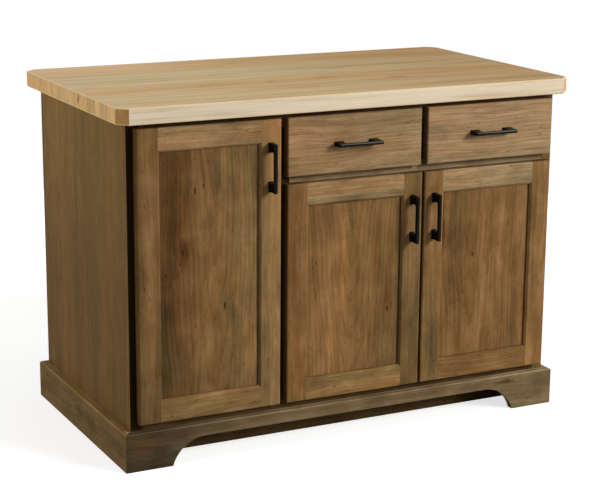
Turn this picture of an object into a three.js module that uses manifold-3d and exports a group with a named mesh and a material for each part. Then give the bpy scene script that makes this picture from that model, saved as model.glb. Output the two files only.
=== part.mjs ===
// A kitchen island: a butcher-block worktop on a stained maple cabinet with a face frame,
// three cope-and-stick doors on concealed hinges, two dovetailed drawers on telescopic
// slides, and a mitred base board with an arched front.
// Millimetres, X to the right, Y to the back, Z up. The origin is on the floor, in the
// middle of the whole island's width and depth.

import * as THREE from 'three';
import { mergeVertices } from 'three/addons/utils/BufferGeometryUtils.js';
import Module from 'manifold-3d';

// ---------------------------------------------------------------- driving dimensions

// Worktop
const worktopWidth = 1280;
const worktopDepth = 720;
const worktopThickness = 42;
const worktopHeight = 914; // top surface above the floor
const worktopClip = 25; // corners cut off at 45 degrees
const worktopEase = 4; // rounding of the long edges, top and bottom
const frontOverhang = 42; // worktop edge to face frame
const backOverhang = 48; // worktop edge to back panel
const sideOverhang = 30.5; // worktop edge to end panel

// Case boards
const endPanelThickness = 19;
const backPanelThickness = 12;
const boardThickness = 18; // floor, partition, divider, shelf, toe kick
const floorTop = 140; // upper face of the cabinet floor
const dadoDepth = 6;
const shelfHeight = 400; // underside of the shelf
const shelfSideGap = 1;
const shelfSetback = 18; // behind the face frame
const shelfEase = 3;
const pinRadius = 2.5;
const pinLength = 8;
const pinSetback = 60; // from the shelf's front and back edges
const toeKickSetback = 84; // behind the face frame

// Face frame
const frameThickness = 20;
const topRailHeight = 38;
const middleRailHeight = 40;
const bottomRailHeight = 70;
const mullionWidth = 40;
const tenonLength = 12;
const tenonThickness = 6;
const tenonShoulder = 5;

// Doors and drawer fronts
const reveal = 16.5; // frame left bare outside the outer fronts
const overlap = 16.5; // front over the edge of the frame opening
const columnGap = 17; // bare frame between the columns
const pairGap = 6; // between the two doors that close together
const topReveal = 12; // worktop to the upper edge of the fronts
const bottomReveal = 19.5; // base board to the lower edge of the doors
const drawerFrontHeight = 150;
const drawerDoorGap = 18;
const frontThickness = 22;
const frontStandOff = 3; // fronts rest on bumpers, clear of the frame
const frontEase = 5; // rounding of a front's outer edges
const frontEaseSteps = 3;
const doorMember = 60; // width of door stiles and rails
const stickingBevel = 5; // bevel along a door member's inner front edge
const panelSetback = 9.5; // door panel behind the face of the stiles
const panelThickness = 6;
const grooveDepth = 10;
const bumperRadius = 4;
const bumperInset = 5.5; // from the door's upper and lower edges
const bumperSideInset = 12; // from the door's pull edge

// Concealed hinges
const cupRadius = 17.5;
const cupWall = 1;
const cupDepth = 12;
const cupCentre = 22.5; // from the door's hinge edge
const cupFromEnd = 90; // from the door's upper and lower ends
const cupRimRadius = 19;
const flangeThickness = 1.4;
const flangeWidth = 10;
const flangeHeight = 56;
const hingePlateThickness = 2.5;
const hingePlateHeight = 50;
const hingePlateInset = 2; // from the frame's front and back faces
const hingeArmWidth = 10.5;
const hingeArmHeight = 16;
const hingeArmReach = 5.5; // into the cup, past the back of the door

// Pulls
const pullLength = 124;
const pullProjection = 34;
const pullBar = 9; // bar thickness, both ways
const pullPost = 22; // post width where it meets the bar
const pullFoot = 26; // post width on the wood
const pullFootDepth = 13; // the foot's other width
const pullCornerRadius = 6; // between post and bar
const pullChamfer = 1.2;
const pullFromEdge = 30; // door pull to the door's free edge
const pullFromTop = 119; // door pull's middle to the door's upper edge

// Drawer boxes
const boxHeight = 95;
const boxPastSlide = 3; // side between the slide's end and the back board
const boxRise = 18; // lower edge of the box above the lower edge of the front
const boxSide = 13;
const boxBottom = 6;
const boxBottomRise = 12; // under the bottom, inside the sides
const boxGrooveDepth = 6;
const tailCount = 3;
const tailSlope = 1 / 7;
const pinShare = 0.38; // pin width as a share of the dovetail pitch
const slidingTailDepth = 11;
const slidingTailNeck = 8.4;
const slidingTailWidth = 12.4;

// Telescopic slides
const slideSpace = 12.7; // box side to frame opening
const slideLength = 508;
const slideSetback = 3; // behind the front of the face frame
const slideHeight = 45;
const slideSteel = 1.2;
const slideGap = 0.5; // running gap between the nested members
const slideOuterReach = 9.5;
const slideSeat = 0.3; // fixed members are let into the wood
const packerHeight = 60;

// Base boards
const baseThickness = 20;
const baseHeight = 100;
const baseRound = 5;
const baseStep = 1.2; // small step above the rounding
const footWidth = 125;
const archHeight = 67.5;
const archRadius = 95; // of the arch's rounded ends

const clearance = 0.3; // between fitted pieces
const roundSegments = 32; // sides of a full circle

// ---------------------------------------------------------------- derived positions

const worktopUnder = worktopHeight - worktopThickness;
const caseHalf = worktopWidth / 2 - sideOverhang;
const innerHalf = caseHalf - endPanelThickness;
const frameFront = -worktopDepth / 2 + frontOverhang;
const frameBack = frameFront + frameThickness;
const caseBack = worktopDepth / 2 - backOverhang;
const backPanelFront = caseBack - backPanelThickness;
const frontsBack = frameFront - frontStandOff;
const frontsFace = frontsBack - frontThickness;

const columnWidth = (2 * caseHalf - 2 * reveal - 2 * columnGap) / 3;
const leftColumn = -caseHalf + reveal; // left edge of each column of fronts
const middleColumn = leftColumn + columnWidth + columnGap;
const rightColumn = middleColumn + columnWidth + columnGap;
const centreStileMiddle = middleColumn - columnGap / 2;
const mullionMiddle = rightColumn - columnGap / 2;

const outerStileWidth = reveal + overlap;
const centreStileWidth = columnGap + 2 * overlap;
const openingHalf = caseHalf - outerStileWidth; // frame opening, from the middle
const centreStileLeft = centreStileMiddle - centreStileWidth / 2;
const centreStileRight = centreStileMiddle + centreStileWidth / 2;
const mullionLeft = mullionMiddle - mullionWidth / 2;
const mullionRight = mullionMiddle + mullionWidth / 2;

const frontsTop = worktopUnder - topReveal;
const doorsBottom = baseHeight + bottomReveal;
const drawerBottom = frontsTop - drawerFrontHeight;
const lowerDoorsTop = drawerBottom - drawerDoorGap;
const middleRailMiddle = (drawerBottom + lowerDoorsTop) / 2;
const middleRailBottom = middleRailMiddle - middleRailHeight / 2;
const middleRailTop = middleRailMiddle + middleRailHeight / 2;
const topRailBottom = worktopUnder - topRailHeight;
const floorUnder = floorTop - boardThickness;
const dividerBottom = middleRailMiddle;

const partitionLeft = centreStileMiddle - boardThickness / 2;
const partitionRight = centreStileMiddle + boardThickness / 2;
const dividerLeft = mullionMiddle - boardThickness / 2;
const dividerRight = mullionMiddle + boardThickness / 2;

const grooveWidth = panelThickness + 2 * clearance;
const panelFace = -frontThickness + panelSetback; // measured from a door's back face
const grooveFront = panelFace - clearance;
const grooveBack = grooveFront + grooveWidth;

const boxBackLow = boxRise + boxBottomRise + boxBottom + clearance; // under the back

const slideFront = frameFront + slideSetback;
const slideBack = slideFront + slideLength;
const boxDepth = slideBack - frontsBack + boxPastSlide + boxSide; // behind the front
const slideMiddle = drawerBottom + boxRise + boxHeight / 2;
const slideHalf = slideHeight / 2;
const runnerHalf = slideHalf - slideSteel - slideGap;
const drawerMemberHalf = runnerHalf - slideSteel - slideGap;

const baseFront = frameFront - baseThickness;
const baseBack = caseBack + baseThickness;
const frontmost = Math.min(frontsFace - pullProjection, baseFront, -worktopDepth / 2);
const backmost = Math.max(worktopDepth / 2, baseBack);

// ---------------------------------------------------------------- finishes

const finishes = {
  butcherBlock: { color: 0xc3b08a, roughness: 0.5, metalness: 0 },
  stainedMaple: { color: 0x84633e, roughness: 0.45, metalness: 0 },
  paleMaple: { color: 0xcdb083, roughness: 0.5, metalness: 0 },
  blackMetal: { color: 0x14130f, roughness: 0.35, metalness: 0.6 },
  steel: { color: 0xb4b6b8, roughness: 0.3, metalness: 1 },
};

// ---------------------------------------------------------------- modelling tools

const wasm = await Module();
wasm.setup();

// A closed three.js geometry as a solid that can be joined and cut.
function solid(geometry) {
  const bare = geometry.clone();
  bare.deleteAttribute('normal');
  bare.deleteAttribute('uv');
  const merged = mergeVertices(bare, 1e-4);
  return new wasm.Manifold(
    new wasm.Mesh({
      numProp: 3,
      vertProperties: new Float32Array(merged.attributes.position.array),
      triVerts: new Uint32Array(merged.index.array),
    }),
  );
}

function geometryOf(shape) {
  const { vertProperties, numProp, triVerts } = shape.getMesh();
  const positions = new Float32Array(triVerts.length * 3);
  triVerts.forEach((vertex, corner) => {
    const start = vertex * numProp;
    positions.set(vertProperties.subarray(start, start + 3), corner * 3);
  });
  const geometry = new THREE.BufferGeometry();
  geometry.setAttribute('position', new THREE.BufferAttribute(positions, 3));
  geometry.computeVertexNormals();
  return geometry;
}

// The shape reflected so that a coordinate c on the axis becomes sum - c.
function mirrored(shape, axis, sum = 0) {
  const geometry = geometryOf(shape);
  const position = geometry.attributes.position;
  const corners = [];
  for (let i = 0; i < position.count; i += 1) {
    const corner = new THREE.Vector3().fromBufferAttribute(position, i);
    corner[axis] = sum - corner[axis];
    corners.push(corner);
  }
  const flipped = [];
  for (let i = 0; i < corners.length; i += 3) {
    flipped.push(corners[i], corners[i + 2], corners[i + 1]);
  }
  return solid(new THREE.BufferGeometry().setFromPoints(flipped));
}

function box([x0, x1], [y0, y1], [z0, z1]) {
  const geometry = new THREE.BoxGeometry(x1 - x0, y1 - y0, z1 - z0);
  geometry.translate((x0 + x1) / 2, (y0 + y1) / 2, (z0 + z1) / 2);
  return solid(geometry);
}

function join(...shapes) {
  return shapes.reduce((sum, shape) => sum.add(shape));
}

function cut(shape, ...tools) {
  return tools.reduce((rest, tool) => rest.subtract(tool), shape);
}

// The axes that an outline and its extrusion take: an outline across x is drawn in
// (y, z), one across y in (x, z) and one across z in (x, y).
const bases = {
  x: new THREE.Matrix4().makeBasis(
    new THREE.Vector3(0, 1, 0), new THREE.Vector3(0, 0, 1), new THREE.Vector3(1, 0, 0)),
  y: new THREE.Matrix4().makeBasis(
    new THREE.Vector3(1, 0, 0), new THREE.Vector3(0, 0, 1), new THREE.Vector3(0, -1, 0)),
  z: new THREE.Matrix4(),
};

function outline(points) {
  return new THREE.Shape(points.map(([u, v]) => new THREE.Vector2(u, v)));
}

// An outline carried along an axis from one coordinate to another.
function prism(shape, axis, from, to, settings = {}) {
  const drawn = Array.isArray(shape) ? outline(shape) : shape;
  const geometry = new THREE.ExtrudeGeometry(drawn, {
    depth: to - from, bevelEnabled: false, curveSegments: roundSegments / 4, ...settings,
  });
  geometry.applyMatrix4(bases[axis]);
  const shift = new THREE.Vector3();
  shift[axis] = axis === 'y' ? to : from;
  geometry.translate(shift.x, shift.y, shift.z);
  return solid(geometry);
}

function cylinder(axis, [u, v], radius, from, to) {
  const circle = new THREE.Shape();
  circle.absarc(u, v, radius, 0, 2 * Math.PI, false);
  return prism(circle, axis, from, to);
}

function piece(group, name, shape, finish) {
  const mesh = new THREE.Mesh(
    geometryOf(shape), new THREE.MeshStandardMaterial(finishes[finish]));
  mesh.name = name;
  group.add(mesh);
  return mesh;
}

// ---------------------------------------------------------------- worktop

function worktop() {
  const x = worktopWidth / 2;
  const y = worktopDepth / 2;
  const c = worktopClip;
  const plan = [
    [-x + c, -y], [x - c, -y], [x, -y + c], [x, y - c],
    [x - c, y], [-x + c, y], [-x, y - c], [-x, -y + c],
  ];
  return prism(plan, 'z', worktopUnder + worktopEase, worktopHeight - worktopEase, {
    bevelEnabled: true, bevelSegments: 3,
    bevelSize: worktopEase, bevelThickness: worktopEase, bevelOffset: -worktopEase,
  });
}

// ---------------------------------------------------------------- face frame

// A frame member and the tenons on its ends. Its pockets are cut in the members that
// it meets, one clearance larger all round.
function tenoned([x0, x1], [z0, z1], along) {
  const body = box([x0, x1], [frameFront, frameBack], [z0, z1]);
  const middle = (frameFront + frameBack) / 2;
  const tongue = (gap) => {
    const depth = [middle - tenonThickness / 2 - gap, middle + tenonThickness / 2 + gap];
    const reach = tenonLength + gap;
    const inset = tenonShoulder - gap;
    return along === 'x'
      ? box([x0 - reach, x1 + reach], depth, [z0 + inset, z1 - inset])
      : box([x0 + inset, x1 - inset], depth, [z0 - reach, z1 + reach]);
  };
  return { shape: body.add(tongue(0)), pocket: tongue(clearance) };
}

function faceFrame(group) {
  const inside = [-openingHalf, openingHalf];
  const topRail = tenoned(inside, [topRailBottom, worktopUnder], 'x');
  const bottomRail = tenoned(inside, [floorTop - bottomRailHeight, floorTop], 'x');
  const middleRail = tenoned(
    [centreStileRight, openingHalf], [middleRailBottom, middleRailTop], 'x');
  const centreStile = tenoned(
    [centreStileLeft, centreStileRight], [floorTop, topRailBottom], 'z');
  const mullion = tenoned([mullionLeft, mullionRight], [middleRailTop, topRailBottom], 'z');

  const depth = [frameFront, frameBack];
  const leftStile = box([-caseHalf, -openingHalf], depth, [0, worktopUnder]);
  const rightStile = box([openingHalf, caseHalf], depth, [0, worktopUnder]);

  const members = {
    stile_left: cut(leftStile, topRail.pocket, bottomRail.pocket),
    stile_right: cut(rightStile, topRail.pocket, bottomRail.pocket, middleRail.pocket),
    stile_centre: cut(centreStile.shape, middleRail.pocket),
    rail_top: cut(topRail.shape, centreStile.pocket, mullion.pocket),
    rail_middle: cut(middleRail.shape, mullion.pocket),
    rail_bottom: cut(bottomRail.shape, centreStile.pocket),
    mullion: mullion.shape,
  };
  for (const [name, shape] of Object.entries(members)) {
    piece(group, `frame_${name}`, shape, 'stainedMaple');
  }
}

// ---------------------------------------------------------------- telescopic slides

// A steel channel drawn across y: its web stands at x = web and its flanges reach
// towards the side that `towards` gives.
function channel(web, towards, reach, half) {
  const t = slideSteel;
  const section = [
    [0, -half], [reach, -half], [reach, -half + t], [t, -half + t],
    [t, half - t], [reach, half - t], [reach, half], [0, half],
  ].map(([u, v]) => [web + towards * u, slideMiddle + v]);
  return prism(section, 'y', slideFront, slideBack);
}

// The member fixed to the case, on a wood packer that brings it flush with the frame
// opening. `side` is +1 where the drawer lies at larger x.
function caseSlide(board, opening, side) {
  const ends = [board - side * slideSeat, opening + side * (clearance + slideSeat)];
  const half = packerHeight / 2;
  const packer = box(
    [Math.min(...ends), Math.max(...ends)],
    [frameBack + clearance, slideBack],
    [slideMiddle - half, slideMiddle + half]);
  return join(packer, channel(opening + side * clearance, side, slideOuterReach, slideHalf));
}

function runner(opening, side) {
  const web = clearance + slideSteel + slideGap;
  const reach = slideSpace - slideSteel - slideGap - web;
  return channel(opening + side * web, side, reach, runnerHalf);
}

function drawerSlide(opening, side) {
  const innerEnd = clearance + 2 * slideSteel + 2 * slideGap;
  const reach = slideSpace - innerEnd;
  const web = opening + side * (slideSpace + slideSeat);
  return channel(web, -side, reach + slideSeat, drawerMemberHalf);
}

// ---------------------------------------------------------------- case boards

function shelfPins(face, side) {
  const front = frameBack + shelfSetback + pinSetback;
  const back = backPanelFront - clearance - pinSetback;
  const ends = [face - side * dadoDepth, face + side * pinLength];
  return [front, back].map((y) => cylinder(
    'x', [y, shelfHeight - clearance - pinRadius], pinRadius,
    Math.min(...ends), Math.max(...ends)));
}

function caseBoards(group) {
  const depth = [frameBack, backPanelFront];
  const floorHalf = innerHalf + dadoDepth - clearance;
  const partitionFoot = floorTop - dadoDepth;
  const floorDado = box(
    [-innerHalf - dadoDepth, innerHalf + dadoDepth], depth,
    [floorUnder - clearance, floorTop + clearance]);
  const partitionDado = box(
    [partitionLeft - clearance, partitionRight + clearance], depth,
    [partitionFoot, floorTop + boardThickness]);

  const leftPanel = box([-caseHalf, -innerHalf], depth, [0, worktopUnder]);
  const rightPanel = box([innerHalf, caseHalf], depth, [0, worktopUnder]);
  const rightFittings = [caseSlide(innerHalf, openingHalf, -1), ...shelfPins(innerHalf, -1)];
  piece(group, 'end_panel_left', cut(leftPanel, floorDado), 'stainedMaple');
  piece(group, 'end_panel_right',
    join(cut(rightPanel, floorDado), ...rightFittings), 'stainedMaple');

  piece(group, 'back_panel',
    box([-caseHalf, caseHalf], [backPanelFront, caseBack], [0, worktopUnder]),
    'stainedMaple');

  piece(group, 'cabinet_floor',
    cut(box([-floorHalf, floorHalf], depth, [floorUnder, floorTop]), partitionDado),
    'paleMaple');

  const partition = box(
    [partitionLeft, partitionRight], depth, [partitionFoot + clearance, worktopUnder]);
  piece(group, 'partition',
    join(partition, caseSlide(partitionRight, centreStileRight, 1),
      ...shelfPins(partitionRight, 1)),
    'paleMaple');

  const divider = box([dividerLeft, dividerRight], depth, [dividerBottom, worktopUnder]);
  piece(group, 'drawer_divider',
    join(divider, caseSlide(dividerLeft, mullionLeft, -1),
      caseSlide(dividerRight, mullionRight, 1)),
    'paleMaple');

  piece(group, 'toe_kick_board',
    box([-innerHalf, innerHalf],
      [frameFront + toeKickSetback, frameFront + toeKickSetback + boardThickness],
      [0, floorUnder]),
    'stainedMaple');
}

function shelf() {
  const front = frameBack + shelfSetback;
  const back = backPanelFront - clearance;
  const e = shelfEase;
  const bottom = shelfHeight;
  const top = shelfHeight + boardThickness;
  const section = new THREE.Shape();
  section.moveTo(back, bottom);
  section.lineTo(back, top);
  section.lineTo(front + e, top);
  section.absarc(front + e, top - e, e, Math.PI / 2, Math.PI, false);
  section.lineTo(front, bottom + e);
  section.absarc(front + e, bottom + e, e, Math.PI, Math.PI * 1.5, false);
  return prism(section, 'x', partitionRight + shelfSideGap, innerHalf - shelfSideGap,
    { curveSegments: 3 });
}

// ---------------------------------------------------------------- base boards

// A base board in its own axes: x along the board from its middle, y outwards from the
// case, z up. Its ends are mitred by moving each end point out as far as it stands off.
function baseBoard(halfLength) {
  const t = baseThickness;
  const r = baseRound;
  const shoulder = baseHeight - baseStep;
  const section = new THREE.Shape();
  section.moveTo(0, 0);
  section.lineTo(t, 0);
  section.lineTo(t, shoulder - r);
  section.absarc(t - r, shoulder - r, r, 0, Math.PI / 2, false);
  section.lineTo(t - r - baseStep, shoulder);
  section.lineTo(t - r - baseStep, baseHeight);
  section.lineTo(0, baseHeight);
  const geometry = new THREE.ExtrudeGeometry(section, {
    depth: 1, bevelEnabled: false, curveSegments: 5,
  });
  geometry.applyMatrix4(bases.x);
  const position = geometry.attributes.position;
  const mitreGap = clearance * Math.SQRT1_2;
  for (let i = 0; i < position.count; i += 1) {
    const end = position.getX(i) > 0.5 ? 1 : -1;
    position.setX(i, end * (halfLength + position.getY(i) - mitreGap));
  }
  return solid(geometry);
}

// The opening under the front board: a flat apron whose ends run down to the floor in
// arcs that are tangent to the apron.
function archCut() {
  const outer = caseHalf + baseThickness;
  const inside = outer - footWidth; // edge of the foot on the floor
  const centreHeight = archHeight - archRadius;
  const centreX = inside - Math.sqrt(archRadius ** 2 - centreHeight ** 2);
  const start = Math.asin(-centreHeight / archRadius);
  const floorBelow = -baseThickness;
  const section = new THREE.Shape();
  section.moveTo(-inside, floorBelow);
  section.lineTo(inside, floorBelow);
  section.lineTo(inside, 0);
  section.absarc(centreX, centreHeight, archRadius, start, Math.PI / 2, false);
  section.absarc(-centreX, centreHeight, archRadius, Math.PI / 2, Math.PI - start, false);
  return prism(section, 'y', -baseThickness, 2 * baseThickness, { curveSegments: 12 });
}

// Stands a board against one side of the case: `out` is the side's outward direction
// and `face` the distance of the case's face from the middle.
function against(shape, out, face) {
  const up = new THREE.Vector3(0, 0, 1);
  const along = new THREE.Vector3().crossVectors(out, up);
  const geometry = geometryOf(shape);
  geometry.applyMatrix4(new THREE.Matrix4().makeBasis(along, out, up));
  geometry.translate(out.x * face, out.y * face, 0);
  return solid(geometry);
}

function baseBoards(group) {
  const middle = (frameFront + caseBack) / 2;
  const sideHalf = (caseBack - frameFront) / 2;
  const front = cut(baseBoard(caseHalf), archCut());
  const right = against(baseBoard(sideHalf), new THREE.Vector3(1, 0, 0), caseHalf);
  const left = against(baseBoard(sideHalf), new THREE.Vector3(-1, 0, 0), caseHalf);
  const sides = new THREE.Group();
  sides.position.y = middle;
  piece(group, 'base_board_front',
    against(front, new THREE.Vector3(0, -1, 0), -frameFront), 'stainedMaple');
  piece(group, 'base_board_back',
    against(baseBoard(caseHalf), new THREE.Vector3(0, 1, 0), caseBack), 'stainedMaple');
  piece(sides, 'base_board_left', left, 'stainedMaple');
  piece(sides, 'base_board_right', right, 'stainedMaple');
  group.add(sides);
}

// ---------------------------------------------------------------- pulls

// One half of the side view of a pull: x from the middle along the bar, y out from the
// wood. The post narrows from its foot in a hollow curve and meets the bar in an arc.
function pullHalfSide() {
  const end = pullLength / 2;
  const innerFoot = end - pullFoot;
  const innerPost = end - pullPost;
  const under = pullProjection - pullBar;
  const r = pullCornerRadius;
  const waist = (pullFoot - pullPost) / 2;
  const shape = new THREE.Shape();
  shape.moveTo(0, under);
  shape.lineTo(innerPost - r, under);
  shape.quadraticCurveTo(innerPost, under, innerPost, under - r);
  shape.quadraticCurveTo(innerPost, under / 3, innerFoot, clearance);
  shape.lineTo(end, clearance);
  shape.quadraticCurveTo(end - waist, under / 2, end, under);
  shape.lineTo(end, pullProjection - pullChamfer);
  shape.lineTo(end - pullChamfer, pullProjection);
  shape.lineTo(0, pullProjection);
  return shape;
}

// The end view: the foot flares to its full width, the bar has chamfered front edges.
function pullEnd() {
  const bar = pullBar / 2;
  const foot = pullFootDepth / 2;
  const c = pullChamfer;
  const waistHeight = pullProjection * 0.6;
  const shape = new THREE.Shape();
  shape.moveTo(-foot, 0);
  shape.lineTo(foot, 0);
  shape.quadraticCurveTo(bar, waistHeight / 3, bar, waistHeight);
  shape.lineTo(bar, pullProjection - c);
  shape.lineTo(bar - c, pullProjection);
  shape.lineTo(-bar + c, pullProjection);
  shape.lineTo(-bar, pullProjection - c);
  shape.lineTo(-bar, waistHeight);
  shape.quadraticCurveTo(-bar, waistHeight / 3, -foot, 0);
  return shape;
}

// A pull along x or z, standing out to the front from y = 0.
function pull(along) {
  const segments = { curveSegments: 5 };
  const half = prism(pullHalfSide(), 'z', -pullFootDepth, pullFootDepth, segments);
  const side = join(half, mirrored(half, 'x'));
  const end = prism(pullEnd(), 'z', -pullLength, pullLength, segments);
  const endTurned = geometryOf(end).rotateY(Math.PI / 2);
  const shape = side.intersect(solid(endTurned));
  const out = new THREE.Vector3(0, -1, 0);
  const bar = along === 'x' ? new THREE.Vector3(1, 0, 0) : new THREE.Vector3(0, 0, 1);
  const across = new THREE.Vector3().crossVectors(bar, out);
  return solid(geometryOf(shape).applyMatrix4(new THREE.Matrix4().makeBasis(bar, out, across)));
}

// ---------------------------------------------------------------- doors

// A front's outside: rounded along its outer front edges, square at the back (y = 0).
function frontBlank(width, height) {
  const e = frontEase;
  const rectangle = [[0, 0], [width, 0], [width, height], [0, height]];
  const rounded = prism(rectangle, 'y', -frontThickness + e, frontThickness, {
    bevelEnabled: true, bevelSegments: frontEaseSteps,
    bevelSize: e, bevelThickness: e, bevelOffset: -e,
  });
  return cut(rounded, box([-1, width + 1], [0, 2 * frontThickness], [-1, height + 1]));
}

// Across a door member: its plain edge at 0, then the bevel and the panel groove of its
// inner edge. A gap above zero gives the cutter that copes the rails' ends to it.
function memberSection(gap = 0) {
  const inner = doorMember + gap;
  return [
    [0, 0],
    [0, -frontThickness],
    [inner - stickingBevel, -frontThickness],
    [inner, -frontThickness + stickingBevel],
    [inner, grooveFront + gap],
    [inner - grooveDepth, grooveFront + gap],
    [inner - grooveDepth, grooveBack - gap],
    [inner, grooveBack - gap],
    [inner, 0],
  ];
}

function hingeCup(z) {
  const rim = cylinder('y', [cupCentre, z], cupRimRadius, -cupWall, flangeThickness);
  const half = flangeHeight / 2;
  const flange = box(
    [cupCentre, cupCentre + flangeWidth], [-cupWall, flangeThickness], [z - half, z + half]);
  const hollow = cylinder(
    'y', [cupCentre, z], cupRadius - cupWall, -cupDepth + cupWall, frontThickness);
  return { metal: join(rim, flange), hollow };
}

// One door in its own axes: x = 0 at the hinge edge, y = 0 at the back, z = 0 at the
// lower edge. A right-hand door is the same door reflected.
function door(name, hingeX, width, height, hingeSide) {
  const group = new THREE.Group();
  group.position.set(hingeX, frontsBack, doorsBottom);
  const place = (part, shape, finish) => piece(
    group, `${name}_${part}`, hingeSide < 0 ? shape : mirrored(shape, 'x'), finish);

  const blank = frontBlank(width, height);
  const stile = prism(memberSection(), 'z', 0, height);
  const cope = prism(memberSection(clearance), 'z', -1, height + 1);
  const cupHeights = [cupFromEnd, height - cupFromEnd];
  const cups = cupHeights.map(hingeCup);
  const hingeStile = cut(
    join(stile.intersect(blank), ...cups.map((cup) => cup.metal)),
    ...cups.map((cup) => cup.hollow));
  place('hinge_stile', hingeStile, 'stainedMaple');

  const bumpers = [bumperInset, height - bumperInset].map((z) => cylinder(
    'y', [width - bumperSideInset, z], bumperRadius, -1, frontStandOff - clearance));
  const pullStile = join(mirrored(stile, 'x', width).intersect(blank), ...bumpers);
  place('pull_stile', pullStile, 'stainedMaple');

  const tongueStart = doorMember - grooveDepth;
  const railSection = memberSection().map(([across, y]) => [y, across]);
  const railBlank = prism(railSection, 'x', tongueStart, width - tongueStart);
  const rail = cut(railBlank, cope, mirrored(cope, 'x', width));
  place('bottom_rail', rail.intersect(blank), 'stainedMaple');
  place('top_rail', mirrored(rail, 'z', height).intersect(blank), 'stainedMaple');

  const edge = tongueStart + clearance;
  place('panel', box(
    [edge, width - edge], [panelFace, panelFace + panelThickness], [edge, height - edge]),
  'stainedMaple');

  const handle = place('pull', pull('z'), 'blackMetal');
  handle.position.set(
    -hingeSide * (width - pullFromEdge), -frontThickness, height - pullFromTop);
  return group;
}

// The fixed half of a concealed hinge: a plate on the edge of the frame opening and an
// arm that reaches into the cup. Drawn for a door hinged at the left of its opening.
function hingeArm(edge, z, hingeSide) {
  const half = hingePlateHeight / 2;
  const plateFront = frameFront + hingePlateInset;
  const plateBack = frameBack - hingePlateInset;
  const t = hingePlateThickness;
  const nose = frontsBack - hingeArmReach;
  const plate = box([0, t], [plateFront, plateBack], [-half, half]);
  const plan = [
    [t / 2, plateBack], [t / 2, plateFront], [t, nose], [t + hingeArmWidth, nose],
    [t + hingeArmWidth, frameFront], [t + hingeArmWidth / 2, plateBack],
  ];
  const arm = prism(plan, 'z', -hingeArmHeight / 2, hingeArmHeight / 2);
  const shape = join(plate, arm);
  const geometry = geometryOf(hingeSide < 0 ? shape : mirrored(shape, 'x'));
  geometry.translate(edge - hingeSide * clearance, 0, z);
  return solid(geometry);
}

function doorWithHinges(group, name, [left, right], top, hingeSide) {
  const width = right - left;
  const height = top - doorsBottom;
  const hingeX = hingeSide < 0 ? left : right;
  const frameEdge = hingeX - hingeSide * overlap;
  group.add(door(name, hingeX, width, height, hingeSide));
  const hinges = { lower: doorsBottom + cupFromEnd, upper: top - cupFromEnd };
  for (const [place, z] of Object.entries(hinges)) {
    piece(group, `${name}_hinge_${place}`, hingeArm(frameEdge, z, hingeSide), 'steel');
  }
}

// ---------------------------------------------------------------- drawers

// The tails cut on the back end of a drawer side, in (y, z), wider at their ends. They
// stand in the back board's height, between its pins.
function tails(gap) {
  const bottom = boxBackLow;
  const top = boxRise + boxHeight;
  const pitch = (top - bottom) / tailCount;
  const root = boxDepth - boxSide;
  const flare = boxSide * tailSlope;
  const narrow = (pitch * (1 - pinShare)) / 2 + gap;
  const list = [];
  for (let i = 0; i < tailCount; i += 1) {
    const z = bottom + pitch * (i + 0.5);
    list.push([
      [root - 1, z - narrow], [boxDepth + gap, z - narrow - flare],
      [boxDepth + gap, z + narrow + flare], [root - 1, z + narrow],
    ]);
  }
  return list;
}

// A drawer side at positive x, from its outer face inwards: the dovetail that slides
// into the front, the groove for the bottom, the tails at the back, and the steel
// member on its outer face.
function drawerSide(outer) {
  const inner = outer - boxSide;
  const low = boxRise;
  const high = boxRise + boxHeight;
  const root = boxDepth - boxSide;
  const body = box([inner, outer], [0, root], [low, high]);
  const slidingTail = prism(slidingTailPlan((inner + outer) / 2, 0), 'z', low, high);
  const endTails = tails(0).map((t) => prism(t, 'x', inner, outer));
  const lowerEnd = box([inner, outer], [root - 1, boxDepth], [low, boxBackLow]);
  return cut(
    join(body, slidingTail, lowerEnd, ...endTails), bottomPanel(outer, clearance));
}

// Plan of the dovetail that joins a drawer side to the drawer front.
function slidingTailPlan(x, gap) {
  const neck = slidingTailNeck / 2 + gap;
  const tail = slidingTailWidth / 2 + gap;
  const depth = slidingTailDepth - clearance + gap;
  return [[x - neck, 1], [x - tail, -depth], [x + tail, -depth], [x + neck, 1]];
}

function bottomPanel(outer, gap) {
  const half = outer - boxSide + boxGrooveDepth - clearance + gap;
  const low = boxRise + boxBottomRise;
  return box(
    [-half, half],
    [-boxGrooveDepth - gap, boxDepth + gap],
    [low - gap, low + boxBottom + gap]);
}

function drawerFront(left, width, outer) {
  const blank = geometryOf(frontBlank(width, drawerFrontHeight)).translate(left, 0, 0);
  const socketTop = boxRise + boxHeight + clearance;
  const centre = outer - boxSide / 2;
  const sockets = [-centre, centre].map(
    (x) => prism(slidingTailPlan(x, clearance), 'z', -1, socketTop));
  return cut(solid(blank), ...sockets, bottomPanel(outer, clearance));
}

function drawerBack(outer) {
  const inner = outer - boxSide;
  const front = boxDepth - boxSide;
  const height = [boxBackLow + clearance, boxRise + boxHeight];
  const middle = box([-inner + clearance, inner - clearance], [front, boxDepth], height);
  const pins = box([-outer, outer], [front + clearance, boxDepth], height);
  const sockets = tails(clearance).flatMap((t) => [
    prism(t, 'x', inner - clearance, outer + 1),
    prism(t, 'x', -outer - 1, -inner + clearance),
  ]);
  return cut(join(middle, pins), ...sockets);
}

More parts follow.
